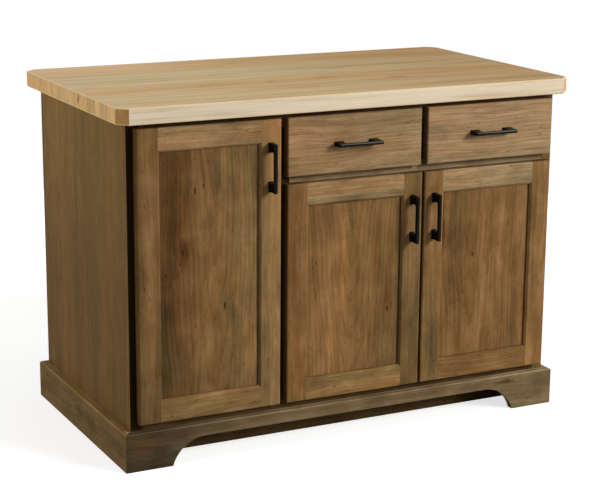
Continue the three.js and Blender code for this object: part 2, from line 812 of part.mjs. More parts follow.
function drawer(group, name, [left, right], [openingLeft, openingRight]) {
  const own = new THREE.Group();
  const width = right - left;
  const middle = (openingLeft + openingRight) / 2;
  const outer = (openingRight - openingLeft) / 2 - slideSpace;
  own.position.set(middle, frontsBack, drawerBottom);

  const frontLeft = left - middle;
  piece(own, `${name}_front`, drawerFront(frontLeft, width, outer), 'stainedMaple');
  const side = drawerSide(outer);
  const member = geometryOf(drawerSlide(openingRight, -1));
  member.translate(-middle, -frontsBack, -drawerBottom);
  const sideWithMember = join(side, solid(member));
  piece(own, `${name}_side_right`, sideWithMember, 'paleMaple');
  piece(own, `${name}_side_left`, mirrored(sideWithMember, 'x'), 'paleMaple');
  piece(own, `${name}_back`, drawerBack(outer), 'paleMaple');
  piece(own, `${name}_bottom`, bottomPanel(outer, 0), 'paleMaple');
  const handle = piece(own, `${name}_pull`, pull('x'), 'blackMetal');
  handle.position.set(frontLeft + width / 2, -frontThickness, drawerFrontHeight / 2);
  group.add(own);

  piece(group, `${name}_runner_left`, runner(openingLeft, 1), 'steel');
  piece(group, `${name}_runner_right`, runner(openingRight, -1), 'steel');
}

// ---------------------------------------------------------------- the island

const island = new THREE.Group();
island.position.y = -(frontmost + backmost) / 2;

piece(island, 'worktop', worktop(), 'butcherBlock');
faceFrame(island);
caseBoards(island);
piece(island, 'shelf', shelf(), 'paleMaple');
baseBoards(island);

const pairMiddle = mullionMiddle;
doorWithHinges(island, 'tall_door', [leftColumn, leftColumn + columnWidth], frontsTop, -1);
doorWithHinges(island, 'middle_door', [middleColumn, pairMiddle - pairGap / 2],
  lowerDoorsTop, -1);
doorWithHinges(island, 'right_door', [pairMiddle + pairGap / 2, rightColumn + columnWidth],
  lowerDoorsTop, 1);

drawer(island, 'left_drawer', [middleColumn, middleColumn + columnWidth],
  [centreStileRight, mullionLeft]);
drawer(island, 'right_drawer', [rightColumn, rightColumn + columnWidth],
  [mullionRight, openingHalf]);

export default island;
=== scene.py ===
"""Kitchen island unit: looks of every piece, and a plain studio round it.

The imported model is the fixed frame. Its boards keep their shape and get a timber finish
of their own, the pulls are remade with soft edges, and the small screws are added.
"""

import math
from collections import namedtuple
from functools import cached_property

import bmesh
import bpy
from mathutils import Matrix, Vector


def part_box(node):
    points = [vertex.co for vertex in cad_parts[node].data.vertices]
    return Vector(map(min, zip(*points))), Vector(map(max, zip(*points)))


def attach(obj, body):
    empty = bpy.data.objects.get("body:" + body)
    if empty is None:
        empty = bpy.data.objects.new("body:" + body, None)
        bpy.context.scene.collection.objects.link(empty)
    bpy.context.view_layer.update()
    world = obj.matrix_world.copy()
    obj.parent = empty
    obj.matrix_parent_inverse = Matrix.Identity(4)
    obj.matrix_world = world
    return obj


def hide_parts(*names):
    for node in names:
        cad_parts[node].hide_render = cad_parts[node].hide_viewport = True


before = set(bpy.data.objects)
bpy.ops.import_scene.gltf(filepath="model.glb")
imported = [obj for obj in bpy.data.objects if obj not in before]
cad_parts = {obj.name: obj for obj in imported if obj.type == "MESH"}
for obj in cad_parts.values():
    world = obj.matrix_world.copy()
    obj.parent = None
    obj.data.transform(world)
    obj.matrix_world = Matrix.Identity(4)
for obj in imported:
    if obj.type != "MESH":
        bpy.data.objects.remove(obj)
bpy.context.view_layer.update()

bl_info = {
    "name": "Kitchen Island Unit",
    "version": (1, 0, 0),
    "blender": (4, 5, 0),
    "location": "3D View > Sidebar > Island",
    "description": "Finishes a kitchen island with a maple worktop, stained doors and drawers",
    "category": "Object",
}

AXES = "XYZ"
DOORS = ("tall_door", "middle_door", "right_door")
DRAWERS = ("left_drawer", "right_drawer")
SKIN = 0.00005           # how far past a face a mask begins
SHEEN = 0.005            # specular level of lacquer and oil on wood
BARE_SHEEN = 0.1         # specular level of the clear maple inside
STAIN_RELIEF = 0.0004    # height of the open grain under the lacquer
BARE_RELIEF = 0.0003
TOP_RELIEF = 0.00025
TO_BACK = (0.0, 1.0, 0.0)


def srgb(red, green, blue):
    """A colour on the usual scale of 0 to 255, as linear light."""
    return tuple(((c / 255 + 0.055) / 1.055) ** 2.4 for c in (red, green, blue))


# ---- settings


def length(name, description, default):
    return bpy.props.FloatProperty(
        name=name, description=description, default=default, min=0.0,
        unit="LENGTH", precision=5)


def colour(name, description, default):
    return bpy.props.FloatVectorProperty(
        name=name, description=description, default=default, size=3,
        min=0.0, max=1.0, subtype="COLOR")


def share(name, description, default):
    return bpy.props.FloatProperty(
        name=name, description=description, default=default, min=0.0, max=4.0,
        subtype="FACTOR")


def angle(name, description, degrees):
    return bpy.props.FloatProperty(
        name=name, description=description, default=math.radians(degrees), subtype="ANGLE")


def watts(name, description, default):
    return bpy.props.FloatProperty(
        name=name, description=description, default=default, min=0.0, unit="POWER")


class StainSettings(bpy.types.PropertyGroup):
    """The brown stain on the cabinet, the doors and the drawer fronts."""

    deepest: colour("Deepest", "Stain in the darkest grain", srgb(58, 39, 22))
    dark: colour("Dark", "Stain in dark grain", srgb(93, 69, 43))
    middle: colour("Middle", "Most of the stained maple", srgb(122, 94, 60))
    light: colour("Light", "Stain in pale grain", srgb(152, 122, 84))
    palest: colour("Palest", "The palest streaks", srgb(182, 153, 113))
    knot: colour("Knots", "Heart of a pin knot", srgb(34, 22, 12))
    blotch: colour("Blotches", "Where the wood drank more stain", srgb(74, 62, 43))
    fibre: length("Fibre", "Width of the finest streaks", 0.0022)
    ring: length("Growth Ring", "Distance between two growth rings", 0.010)
    gloss: share("Roughness", "Roughness of the satin lacquer", 0.42)


class MapleSettings(bpy.types.PropertyGroup):
    """Clear maple inside the cabinet and on the worktop."""

    dark: colour("Dark", "Dark grain inside the cabinet", srgb(176, 140, 96))
    middle: colour("Middle", "Most of the maple inside the cabinet", srgb(208, 178, 134))
    light: colour("Light", "Pale grain inside the cabinet", srgb(226, 201, 160))
    top_dark: colour("Top, Dark", "Brown streaks of the worktop", srgb(176, 136, 90))
    top_middle: colour("Top, Middle", "Most of the worktop", srgb(217, 198, 168))
    top_light: colour("Top, Light", "Palest grain of the worktop", srgb(235, 220, 196))
    end_grain: colour("Top, Ends", "End grain of the staves", srgb(228, 188, 131))
    top_oil: colour("Top, Oil", "Tint of the oil on the upper face", (0.99, 0.88, 0.69))
    top_front: colour("Top, Edge", "Tint of the long edges", (0.985, 0.955, 0.955))
    # Painted shade: the top darkens towards its right end.
    top_far_shade: colour("Top, Far End", "Tint at the right end of the top", (0.71, 0.64, 0.56))
    # Painted highlight on the eased edges of the worktop, where light catches them.
    arris_highlight: colour("Top, Arris", "Eased edges of the worktop", srgb(252, 224, 174))
    gloss: share("Roughness", "Roughness of the oiled worktop", 0.5)


class MetalSettings(bpy.types.PropertyGroup):
    """Black pulls, zinc-plated hinges, slides and screws."""

    black: colour("Black", "Paint of the pulls", srgb(12, 12, 11))
    # Painted highlight: a paler black on the upward faces of the pulls' crown.
    crown_highlight: colour("Crown Highlight", "Crown of the pulls", srgb(88, 88, 85))
    zinc: colour("Zinc", "Hinges, slides and screws", srgb(186, 188, 190))
    rubber: colour("Rubber", "Bumpers on the doors", srgb(150, 148, 142))
    edge: length("Pull Edge", "Rounding of a pull's edges", 0.0006)
    crown: length("Pull Crown", "Rounding of a pull's long front edges", 0.0034)
    screw_radius: length("Screw Head", "Radius of a screw head", 0.0034)
    screw_height: length("Screw Height", "Height of a screw head", 0.0013)
    recess: length("Screw Recess", "Width of the cross in a screw head", 0.0009)


class StudioSettings(bpy.types.PropertyGroup):
    """Camera, lamps and floor."""

    camera_place: bpy.props.FloatVectorProperty(
        name="Camera", description="Where the camera stands", size=3, subtype="XYZ",
        unit="LENGTH", default=(-2.0240, -4.0409, 1.5565))
    heading: angle("Heading", "Turn of the camera from straight ahead", -26.74)
    tilt: angle("Tilt", "How far the camera looks down", 14.0)
    roll: angle("Roll", "Turn of the camera about its own axis", 0.44)
    lens: bpy.props.FloatProperty(
        name="Lens", description="Focal length on a sensor 36 mm wide", default=102.0,
        unit="CAMERA")
    key: watts("Key Lamp", "Power of the lamp at the right", 545.0)
    fill: watts("Fill Lamp", "Power of the lamp at the left", 150.0)
    top: watts("Top Lamp", "Power of the lamp overhead", 21.0)
    ambient: share("Ambient", "Strength of the light from all sides", 0.14)
    floor: colour("Floor", "The pale floor", srgb(196, 195, 192))


# ---- material tools


def arithmetic(operation, swapped=False):
    """A method of a wire that adds one Math node to its sheet."""
    def method(self, other):
        return self.math(operation, *((other, self) if swapped else (self, other)))
    return method


class Wire:
    """A socket's value on a sheet. An expression on wires adds its Math nodes there."""

    def __init__(self, sheet, socket):
        self.sheet = sheet
        self.socket = socket

    def of(self, output):
        """Another output of the same node."""
        return Wire(self.sheet, self.socket.node.outputs[output])

    def math(self, operation, *values):
        return self.sheet.node(
            "ShaderNodeMath", {"operation": operation}, dict(enumerate(values)))

    def __abs__(self):
        return self.math("ABSOLUTE", self)

    __add__ = __radd__ = arithmetic("ADD")
    __sub__ = arithmetic("SUBTRACT")
    __rsub__ = arithmetic("SUBTRACT", swapped=True)
    __mul__ = __rmul__ = arithmetic("MULTIPLY")
    __truediv__ = arithmetic("DIVIDE")
    __pow__ = arithmetic("POWER")
    __gt__ = arithmetic("GREATER_THAN")
    __lt__ = arithmetic("LESS_THAN")


class Sheet:
    """The node sheet of a material, a world or a modifier. Every node comes from node()."""

    def __init__(self, tree):
        self.tree = tree
        tree.nodes.clear()

    def node(self, kind, settings=None, inputs=None, output=0):
        """A new node, and a wire from one of its outputs. The settings come first."""
        made = self.tree.nodes.new(kind)
        for setting, value in (settings or {}).items():
            if setting == "stops":
                set_stops(made.color_ramp, value)
            else:
                setattr(made, setting, value)
        for place, value in (inputs or {}).items():
            if isinstance(value, Wire):
                self.tree.links.new(value.socket, made.inputs[place])
            else:
                made.inputs[place].default_value = value
        return Wire(self, made.outputs[output]) if made.outputs else None

    def mix(self, factor, first, second, blend="MIX"):
        """Two colours mixed. A colour may be a wire or three numbers."""
        return self.node(
            "ShaderNodeMix", {"data_type": "RGBA", "blend_type": blend},
            {0: factor, 6: opaque(first), 7: opaque(second)}, 2)

    def tinted(self, shade, tint, amount=1.0):
        """A colour multiplied by a tint, as far as the amount says."""
        return self.mix(amount, shade, tint, "MULTIPLY")

    def grey(self, value):
        return self.node("ShaderNodeCombineColor", None, {0: value, 1: value, 2: value})

    def step(self, value, low, high):
        """0 below low, 1 above high, and smooth in between."""
        return self.node(
            "ShaderNodeMapRange", {"interpolation_type": "SMOOTHSTEP"},
            {"Value": value, "From Min": low, "From Max": high})

    def noise(self, x, y, z, detail=2.0, roughness=0.5):
        place = self.node("ShaderNodeCombineXYZ", None, {0: x, 1: y, 2: z})
        return self.node(
            "ShaderNodeTexNoise", None,
            {"Vector": place, "Scale": 1.0, "Detail": detail, "Roughness": roughness})

    def specks(self, scale):
        """Noise of the same scale along all three axes."""
        return self.noise(*(part * scale for part in self.at.values()))

    def split(self, output):
        """The three parts of one of the texture coordinates, by axis."""
        coordinates = self.node("ShaderNodeTexCoord", output=output)
        parts = self.node("ShaderNodeSeparateXYZ", None, {0: coordinates})
        return {axis: parts.of(axis) for axis in AXES}

    @cached_property
    def at(self):
        """The coordinates on the piece by axis, in metres."""
        return self.split("Object")

    @cached_property
    def facing(self):
        """How far the faces point along each axis, either way: from 0 to 1."""
        return {axis: abs(part) for axis, part in self.split("Normal").items()}

    def surface(self, inputs, height=None, relief=0.0):
        """The shader: inputs by name, and a height that the Bump node reads."""
        if height is not None:
            inputs["Normal"] = self.node(
                "ShaderNodeBump", None, {"Strength": 1.0, "Distance": relief, "Height": height})
        shader = self.node("ShaderNodeBsdfPrincipled", None, inputs)
        self.node("ShaderNodeOutputMaterial", None, {"Surface": shader})


def new_material(name):
    """A material, and its empty sheet."""
    material = bpy.data.materials.new(name)
    material.use_nodes = True
    return material, Sheet(material.node_tree)


def set_stops(ramp, stops):
    """Stops as (place, colour), from 0 to 1."""
    for place, _ in stops[2:]:
        ramp.elements.new(place)
    for element, (place, shade) in zip(ramp.elements, stops):
        element.position = place
        element.color = opaque(shade)


def opaque(shade):
    return shade if isinstance(shade, Wire) else (*tuple(shade)[:3], 1.0)


def added(name, data):
    """A new object, linked into the scene."""
    thing = bpy.data.objects.new(name, data)
    bpy.context.scene.collection.objects.link(thing)
    return thing


def made_of(shape, name, material):
    """A new object from a bmesh, which is freed."""
    mesh = bpy.data.meshes.new(name)
    shape.to_mesh(mesh)
    shape.free()
    mesh.materials.append(material)
    return added(name, mesh)


def paint(node, material):
    """Gives a node of the frame its material, and leaves its mesh as it is."""
    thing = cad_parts[node]
    if not thing.data.materials:
        thing.data.materials.append(None)
    for slot in thing.material_slots:
        slot.link = "OBJECT"
        slot.material = material


# ---- timber

# How one board was cut: the axis its grain runs along, the axis across its face, how
# light and how red it is, its pin knots as (along, across, radius) in metres, the middle
# of its arched figure as (across, along, slope), where it has one, how blotchy it took
# the stain, how cool its stain is, how strong its broad and its fine figure are, a second
# tone and warmth that it reaches between two places along an axis, its smudges as (along,
# across, reach along, reach across, tint), and how much painted shade darkens its narrow faces.
Board = namedtuple(
    "Board", "grain across tone warmth knots arch blotch chill broad fine far smudges narrow",
    defaults=(1.0, 0.5, (), None, 0.35, 0.0, 1.0, 1.0, None, (), 0.5))
Far = namedtuple("Far", "axis tone warmth start stop", defaults=(0.0, 1.0))
COOL = (0.97, 1.06, 1.35)   # tint of a board whose chill is 1
DRAB, RUDDY = (0.96, 1.02, 0.97), (1.08, 0.95, 0.84)   # tints of the least and the most red

# One layer of a board's figure: its changes in a metre across and along the grain, its
# detail and roughness, and which way a board's own shift moves it: across, deep, along.
Layer = namedtuple("Layer", "across along detail roughness ways")
DRIFT = Layer(5, 2.6, 1.0, 0.5, (-1, 0, 1))
ZONES = Layer(11, 1.3, 1.0, 0.5, (1, 0, 1))
BLOTCHES = Layer(15, 7.5, 3.0, 0.6, (-1, 0, -1))
CLOUDS = Layer(24, 13, 3.0, 0.6, (0, 1, 1))
BANDS = Layer(34, 1.9, 1.5, 0.5, (1, 0, -1))
STREAKS = Layer(150, 3.4, 2.0, 0.6, (1, 0, -1))
FLECKS = Layer(300, 44, 1.0, 0.5, (1, 0, 0))
FIBRES = Layer(None, 12, 3.0, 0.6, (-1, 0, 0))   # its width is a setting of the stain
SEED_SHIFT = 3.71        # how far apart the figures of two boards are taken
WANDER = 0.05            # how far the grain wanders across a board, in metres
KNOT_STRETCH = 3.2       # length of the eddy round a knot, to its width
KNOT_EDDY = 3            # how far that eddy reaches aside, in radii of the knot
RING_WAVE = 1.6          # how many growth rings the bands push the arches by
LATE_WOOD = 0.12         # how much darker the late wood of a ring is

# What a board's colour needs of its figure. The depth goes from 0, where the stain lies
# deepest, to 1, where it is palest.
Figure = namedtuple("Figure", "grain knots zones bands streaks clouds blotches fibres depth")


def third_axis(*others):
    return next(axis for axis in AXES if axis not in others)


def middle_of(node):
    low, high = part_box(node)
    return (low + high) / 2


def flow_round(sheet, along, wide, knots):
    """The grain's own coordinate across the board: its lines part round each knot."""
    grain = wide
    marks = None
    for knot_along, knot_wide, radius in knots:
        down = (along - knot_along) / KNOT_STRETCH
        side = wide - knot_wide
        squared = down * down + side * side
        reach = (KNOT_EDDY * radius) ** 2
        grain = grain - side * reach / (squared + reach)
        mark = 1 - sheet.step(squared ** 0.5, radius * 0.3, radius * 1.1)
        marks = mark if marks is None else marks.math("MAXIMUM", marks, mark)
    return grain, marks


def figure_of(sheet, board, seed, stain):
    """The figure of a board, in layers from the widest to the finest."""
    along, wide = sheet.at[board.grain], sheet.at[board.across]
    deep = sheet.at[third_axis(board.grain, board.across)]

    def laid(layer, across):
        spots = (across * layer.across, deep * layer.across, along * layer.along)
        moved = [
            spot + seed * SEED_SHIFT * way if way else spot
            for spot, way in zip(spots, layer.ways)]
        return sheet.noise(*moved, layer.detail, layer.roughness)

    zones = laid(ZONES, wide)
    drift = (laid(DRIFT, wide) - 0.5) * WANDER
    grain, knots = flow_round(sheet, along, wide + drift, board.knots)
    bands = laid(BANDS, grain)
    streaks = laid(STREAKS, grain)
    clouds = laid(CLOUDS, grain)
    fibres = laid(FIBRES._replace(across=1 / stain.fibre), grain)
    depth = (0.5 + (zones - 0.5) * (0.5 * board.broad) + (bands - 0.5) * (0.3 * board.broad)
             + (clouds - 0.5) * (0.5 * board.broad) + (streaks - 0.5) * (0.3 * board.fine)
             + (fibres - 0.5) * (0.34 * board.fine))
    if board.arch:
        arch_wide, arch_along, slope = board.arch
        side = grain - arch_wide
        heart = (along - arch_along) * slope + (fibres - 0.5) * 0.002
        rings = (side * side + heart * heart) ** 0.5 / stain.ring + bands * RING_WAVE
        depth = depth - rings.math("FRACT", rings) ** 4 * LATE_WOOD
    depth = depth - sheet.step(laid(FLECKS, grain), 0.7, 0.78) * 0.3
    return Figure(
        grain, knots, zones, bands, streaks, clouds, laid(BLOTCHES, grain), fibres, depth)


def smudged(sheet, shade, along, across, smudges):
    """A colour with soft oval patches on it: mineral streaks and pale or dark places."""
    for spot_along, spot_across, long, wide, tint in smudges:
        down = (along - spot_along) / long
        side = (across - spot_across) / wide
        inside = 1 - sheet.step((down * down + side * side) ** 0.5, 0.1, 1.0)
        shade = sheet.tinted(shade, tint, inside)
    return shade


def tone_and_warmth(sheet, node, board):
    """How light and how red a board is: even, or changing to the far end of an axis."""
    cool = [1 + (c - 1) * board.chill for c in COOL]
    near = [board.tone * c for c in cool]
    if board.far is None:
        return near, board.warmth
    low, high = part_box(node)
    axis = AXES.index(board.far.axis)
    size = high[axis] - low[axis]
    there = sheet.step(
        sheet.at[board.far.axis], low[axis] + size * board.far.start,
        low[axis] + size * board.far.stop)
    tone = sheet.mix(there, near, [board.far.tone * c for c in cool])
    return tone, there * (board.far.warmth - board.warmth) + board.warmth


def timber(sheet, node, board, seed, stain):
    """Colour of a stained board, and its figure."""
    figure = figure_of(sheet, board, seed, stain)
    stops = ((0.0, stain.deepest), (0.28, stain.dark), (0.5, stain.middle),
             (0.74, stain.light), (1.0, stain.palest))
    shade = sheet.node("ShaderNodeValToRGB", {"stops": stops}, {0: figure.depth})

    tone, warmth = tone_and_warmth(sheet, node, board)
    redness = ((figure.zones - 0.5) * board.broad + (figure.bands - 0.5) * (0.5 * board.broad)
               + (warmth - 0.5) * 0.5 + 0.5)
    shade = sheet.tinted(shade, sheet.mix(sheet.step(redness, 0.34, 0.66), DRAB, RUDDY))
    thirst = sheet.step(figure.blotches, 0.54, 0.74) * board.blotch
    shade = sheet.mix(thirst, shade, stain.blotch)
    shade = sheet.tinted(shade, tone)

    ragged = (figure.clouds - 0.5) * 0.03 + (figure.streaks - 0.5) * 0.012
    shade = smudged(sheet, shade, sheet.at[board.grain], figure.grain + ragged, board.smudges)
    if figure.knots is not None:
        shade = sheet.mix(figure.knots * 0.85, shade, stain.knot)
    ends = sheet.step(sheet.facing[board.grain], 0.6, 0.9) * 0.55
    # Painted shade: the narrow faces across the board turn to the deepest stain, as if shaded in
    # the gaps.
    narrow = sheet.step(sheet.facing[board.across], 0.85, 0.95) * board.narrow
    return sheet.mix(ends + narrow, shade, stain.deepest), figure


def stained(name, board, seed, fitting=None):
    """A stained and lacquered board, and what is let into it."""
    settings = bpy.context.scene.island_stain
    material, sheet = new_material(f"stained_maple.{name}")
    shade, figure = timber(sheet, name, board, seed, settings)
    inputs = {
        "Base Color": shade,
        "Roughness": settings.gloss + (0.5 - figure.depth) * 0.16,
        "Specular IOR Level": SHEEN,
    }
    if fitting:
        fitting(sheet, inputs)
    sheet.surface(inputs, figure.fibres, STAIN_RELIEF)
    return material


def stain_boards(boards, first_seed, fittings=None):
    """Stains boards given by node, each with a seed of its own."""
    for seed, (node, board) in enumerate(boards.items(), first_seed):
        paint(node, stained(node, board, seed, (fittings or {}).get(node)))


def clear_maple(sheet, grain, across, seed):
    """Colour and height of unstained maple, as inside the cabinet."""
    settings = bpy.context.scene.island_maple
    along, wide, deep = sheet.at[grain], sheet.at[across], sheet.at[third_axis(grain, across)]
    bands = sheet.noise(wide * 30 + seed, deep * 30, along * 1.6 - seed, 2.0)
    fibres = sheet.noise(wide * 380 - seed, deep * 380, along * 9, 3.0, 0.6)
    depth = 0.5 + (bands - 0.5) * 1.2 + (fibres - 0.5) * 0.6
    stops = ((0.0, settings.dark), (0.5, settings.middle), (1.0, settings.light))
    shade = sheet.node("ShaderNodeValToRGB", {"stops": stops}, {0: depth})
    ends = sheet.step(sheet.facing[grain], 0.6, 0.9)
    return sheet.mix(ends * 0.4, shade, settings.dark), fibres


def clear_board(node, grain, across, seed, fitting=None):
    """Finishes an unstained maple board, and what is let into it."""
    material, sheet = new_material(f"clear_maple.{node}")
    shade, fibres = clear_maple(sheet, grain, across, seed)
    inputs = {"Base Color": shade, "Roughness": 0.42, "Specular IOR Level": BARE_SHEEN}
    if fitting:
        fitting(sheet, inputs)
    sheet.surface(inputs, fibres, BARE_RELIEF)
    paint(node, material)


# ---- metal


def zinc(sheet):
    """Colour and roughness of zinc plate: a fine brushed grain and dull clouds."""
    settings = bpy.context.scene.island_metal
    x, y, z = sheet.at.values()
    brushed = sheet.noise(x * 900, y * 40, z * 900)
    clouds = sheet.specks(60)
    shade = sheet.mix(clouds, [c * 0.72 for c in settings.zinc], settings.zinc)
    return shade, 0.24 + brushed * 0.16 + clouds * 0.1


def zinc_material():
    """The zinc plate that all loose metal shares, made once."""
    material = bpy.data.materials.get("zinc_plate")
    if material is None:
        material, sheet = new_material("zinc_plate")
        shade, roughness = zinc(sheet)
        sheet.surface({"Base Color": shade, "Roughness": roughness, "Metallic": 1.0})
    return material


def plate_over(sheet, inputs, mask):
    """Turns a board into zinc plate where the mask is 1."""
    shade, roughness = zinc(sheet)
    inputs["Base Color"] = sheet.mix(mask, inputs["Base Color"], shade)
    inputs["Roughness"] = inputs["Roughness"] * (1 - mask) + roughness * mask
    inputs["Metallic"] = mask


def black_paint():
    """Satin black powder coat with a fine orange-peel, and a painted highlight along its crown.
    """
    settings = bpy.context.scene.island_metal
    material, sheet = new_material("black_powder_coat")
    peel, clouds = sheet.specks(1400), sheet.specks(90)
    shade = sheet.mix(clouds, [c * 0.7 for c in settings.black], settings.black)
    # Painted highlight: the faces of the crown that turn upwards are paler.
    rising = sheet.split("Normal")["Z"]
    crown = sheet.step(rising, 0.12, 0.36) * (1 - sheet.step(rising, 0.72, 0.9))
    shade = sheet.mix(crown * (0.7 + clouds * 0.3), shade, settings.crown_highlight)
    sheet.surface(
        {"Base Color": shade, "Roughness": 0.3 + clouds * 0.06, "Specular IOR Level": 0.07},
        peel, 0.00001)
    return material


# ---- worktop


# The staves of the worktop, from its back edge: how wide, light and red each is, and how
# light and pink its end grain is.
STAVES = {
    "width": (0.125, 0.068, 0.107, 0.103, 0.095, 0.062, 0.032, 0.050, 0.078),
    "tone": (0.97, 0.98, 1.02, 1.02, 0.98, 0.96, 1.02, 0.98, 0.99),
    "warmth": (0.85, 0.75, 0.05, 0.15, 0.80, 0.55, 0.30, 0.25, 0.20),
    "end_tone": (1.02, 0.95, 0.99, 0.98, 1.04, 0.84, 1.10, 0.90, 1.08),
    "end_pink": (1.0, 0.3, 0.0, 0.0, 0.5, 0.0, 0.0, 0.0, 0.0),
    "number": range(9),
}
BROWN, DUSKY, FOXY = (0.62, 0.53, 0.42), (0.85, 0.82, 0.77), (0.93, 0.8, 0.66)
TOP_SMUDGES = (          # along X, and across from the back edge
    (-0.465, 0.130, 0.014, 0.009, DUSKY), (-0.140, 0.153, 0.030, 0.016, FOXY),
    (-0.235, 0.170, 0.009, 0.007, DUSKY), (0.360, 0.134, 0.300, 0.018, DUSKY),
    (0.455, 0.131, 0.070, 0.011, FOXY), (-0.600, 0.298, 0.012, 0.008, DUSKY),
    (-0.190, 0.296, 0.100, 0.014, DUSKY), (0.150, 0.300, 0.070, 0.018, DUSKY),
    (-0.470, 0.430, 0.120, 0.009, DUSKY), (-0.295, 0.450, 0.070, 0.018, FOXY),
    (-0.125, 0.461, 0.014, 0.010, BROWN), (0.035, 0.450, 0.055, 0.020, FOXY),
    (0.480, 0.447, 0.220, 0.014, FOXY), (-0.290, 0.516, 0.290, 0.012, DUSKY),
    (0.225, 0.515, 0.050, 0.011, BROWN), (0.560, 0.600, 0.070, 0.018, FOXY),
    (-0.560, 0.060, 0.500, 0.170, (1.13, 1.16, 1.3)),
)
OLIVE, TAN = (0.965, 1.05, 1.12), (1.05, 0.96, 0.84)   # tints of the least and the most red
PINKISH = (1.0, 0.93, 0.95)                            # tint of the pinkest end grain
CLIPPED = (0.77, 0.63, 0.46)                           # tint of the four clipped corners
END_CRACKS = (           # across, up and half the length of the small cracks, at both ends
    (0.013, 0.876, 0.009), (-0.068, 0.898, 0.015), (-0.179, 0.907, 0.005))
CRACK_LEAN = 0.35        # how far a crack leans as it rises
CRACK_WIDTH = 0.3        # of its length
LONG_ARRIS, SHORT_ARRIS = 0.35, 0.8   # painted highlight: how much paler the eased long and short edges are


def of_stave(from_back, name):
    """What a column of the table says of each stave, from the back edge to the front."""
    values = STAVES[name]
    joint = 0.0
    found = values[0]
    for width, before, after in zip(STAVES["width"], values, values[1:]):
        joint += width
        found = (from_back > joint) * (after - before) + found
    return found


def long_grain(sheet, settings, from_back, number):
    """Colour, evenness and height of the staves along their grain."""
    x, y, z = sheet.at.values()
    warmth = of_stave(from_back, "warmth")
    wavy = y + (sheet.noise(y * 9, z * 9, x * 2.2 + number * 3, 1.0) - 0.5) * 0.03
    bands = sheet.noise(wavy * 26 + number * 5, z * 26, x * 1.6 + number * 9, 2.0)
    streaks = sheet.noise(wavy * 120 + number * 3, z * 120, x * 3.2, 3.0, 0.6)
    fibres = sheet.noise(y * 420, z * 420, x * 9 + number * 7, 3.0, 0.6)
    depth = 0.52 + (bands - 0.5) * 0.8 + (streaks - 0.5) * 0.5 + (fibres - 0.5) * 0.5
    stops = ((0.0, settings.top_dark), (0.5, settings.top_middle), (1.0, settings.top_light))
    shade = sheet.node("ShaderNodeValToRGB", {"stops": stops}, {0: depth})

    rust = sheet.noise(wavy * 60, z * 30, x * 3.4 + 4, 2.0, 0.6)
    rust = sheet.step(rust, 0.58, 0.76) * (warmth * 0.6 + 0.3)
    shade = sheet.mix(rust * 0.6, shade, settings.top_dark)
    flecks = sheet.step(sheet.noise(y * 190, z * 190, x * 26, 1.0), 0.76, 0.84)
    shade = sheet.mix(flecks * 0.6, shade, [c * 0.5 for c in settings.top_dark])
    shade = smudged(sheet, shade, x, from_back + (streaks - 0.5) * 0.016, TOP_SMUDGES)
    shade = sheet.tinted(shade, sheet.mix(warmth + (bands - 0.5) * 0.6, OLIVE, TAN))
    shade = sheet.tinted(shade, sheet.grey(of_stave(from_back, "tone")))
    return shade, depth, fibres


def end_grain(sheet, settings, from_back, number):
    """Colour of the end grain on the two short edges: stripes, rings and small cracks."""
    x, y, z = sheet.at.values()
    rings = sheet.noise(y * 150 + number * 3, z * 40 + number, x * 60, 3.0, 0.6)
    stripes = sheet.noise(y * 40 + number * 7, z * 7, x * 20, 1.0)
    light = (sheet.step(rings, 0.3, 0.72) * 0.17 + of_stave(from_back, "end_tone") * 0.87
             + (stripes - 0.5) * 0.46)
    shade = sheet.tinted(settings.end_grain, sheet.grey(light))
    shade = sheet.tinted(shade, PINKISH, of_stave(from_back, "end_pink"))
    for across, up, size in END_CRACKS:
        side = (y - across + (z - up) * CRACK_LEAN) / CRACK_WIDTH
        rise = z - up
        crack = 1 - sheet.step((side * side + rise * rise) ** 0.5 / size, 0.4, 1.1)
        shade = sheet.mix(crack * 0.85, shade, [c * 0.22 for c in settings.top_dark])
    return shade


def worktop_material(node):
    """Oiled maple staves glued side by side, with their end grain on the short edges."""
    settings = bpy.context.scene.island_maple
    material, sheet = new_material("butcher_block")
    low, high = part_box(node)
    from_back = high.y - sheet.at["Y"]
    number = of_stave(from_back, "number")

    shade, depth, fibres = long_grain(sheet, settings, from_back, number)
    # Painted shade: the oil's tint darkens towards the right end of the top.
    far_oil_and_shade = [c * f for c, f in zip(settings.top_oil, settings.top_far_shade)]
    oil = sheet.mix(sheet.step(sheet.at["X"], low.x, high.x), settings.top_oil, far_oil_and_shade)
    shade = sheet.tinted(shade, oil, sheet.facing["Z"])
    shade = sheet.tinted(shade, settings.top_front, sheet.facing["Y"])
    ends = end_grain(sheet, settings, from_back, number)
    shade = sheet.mix(sheet.step(sheet.facing["X"], 0.45, 0.8), shade, ends)
    shade = sheet.tinted(shade, CLIPPED, sheet.facing["X"] * sheet.facing["Y"] * 2)
    # Painted highlight: the eased edges that face up and aside turn pale.
    beside = sheet.facing["X"] * SHORT_ARRIS + sheet.facing["Y"] * LONG_ARRIS
    arris_highlight = sheet.facing["Z"] * beside * 2
    inputs = {
        "Base Color": sheet.mix(arris_highlight, shade, settings.arris_highlight),
        "Roughness": settings.gloss + (0.5 - depth) * 0.14,
        "Specular IOR Level": SHEEN,
    }
    sheet.surface(inputs, fibres, TOP_RELIEF)
    return material


class WorktopOperator(bpy.types.Operator):
    """Finishes the butcher-block worktop"""

    bl_idname = "island.worktop"
    bl_label = "Worktop"

    def execute(self, context):
        paint("worktop", worktop_material("worktop"))
        return {"FINISHED"}


# ---- cabinet

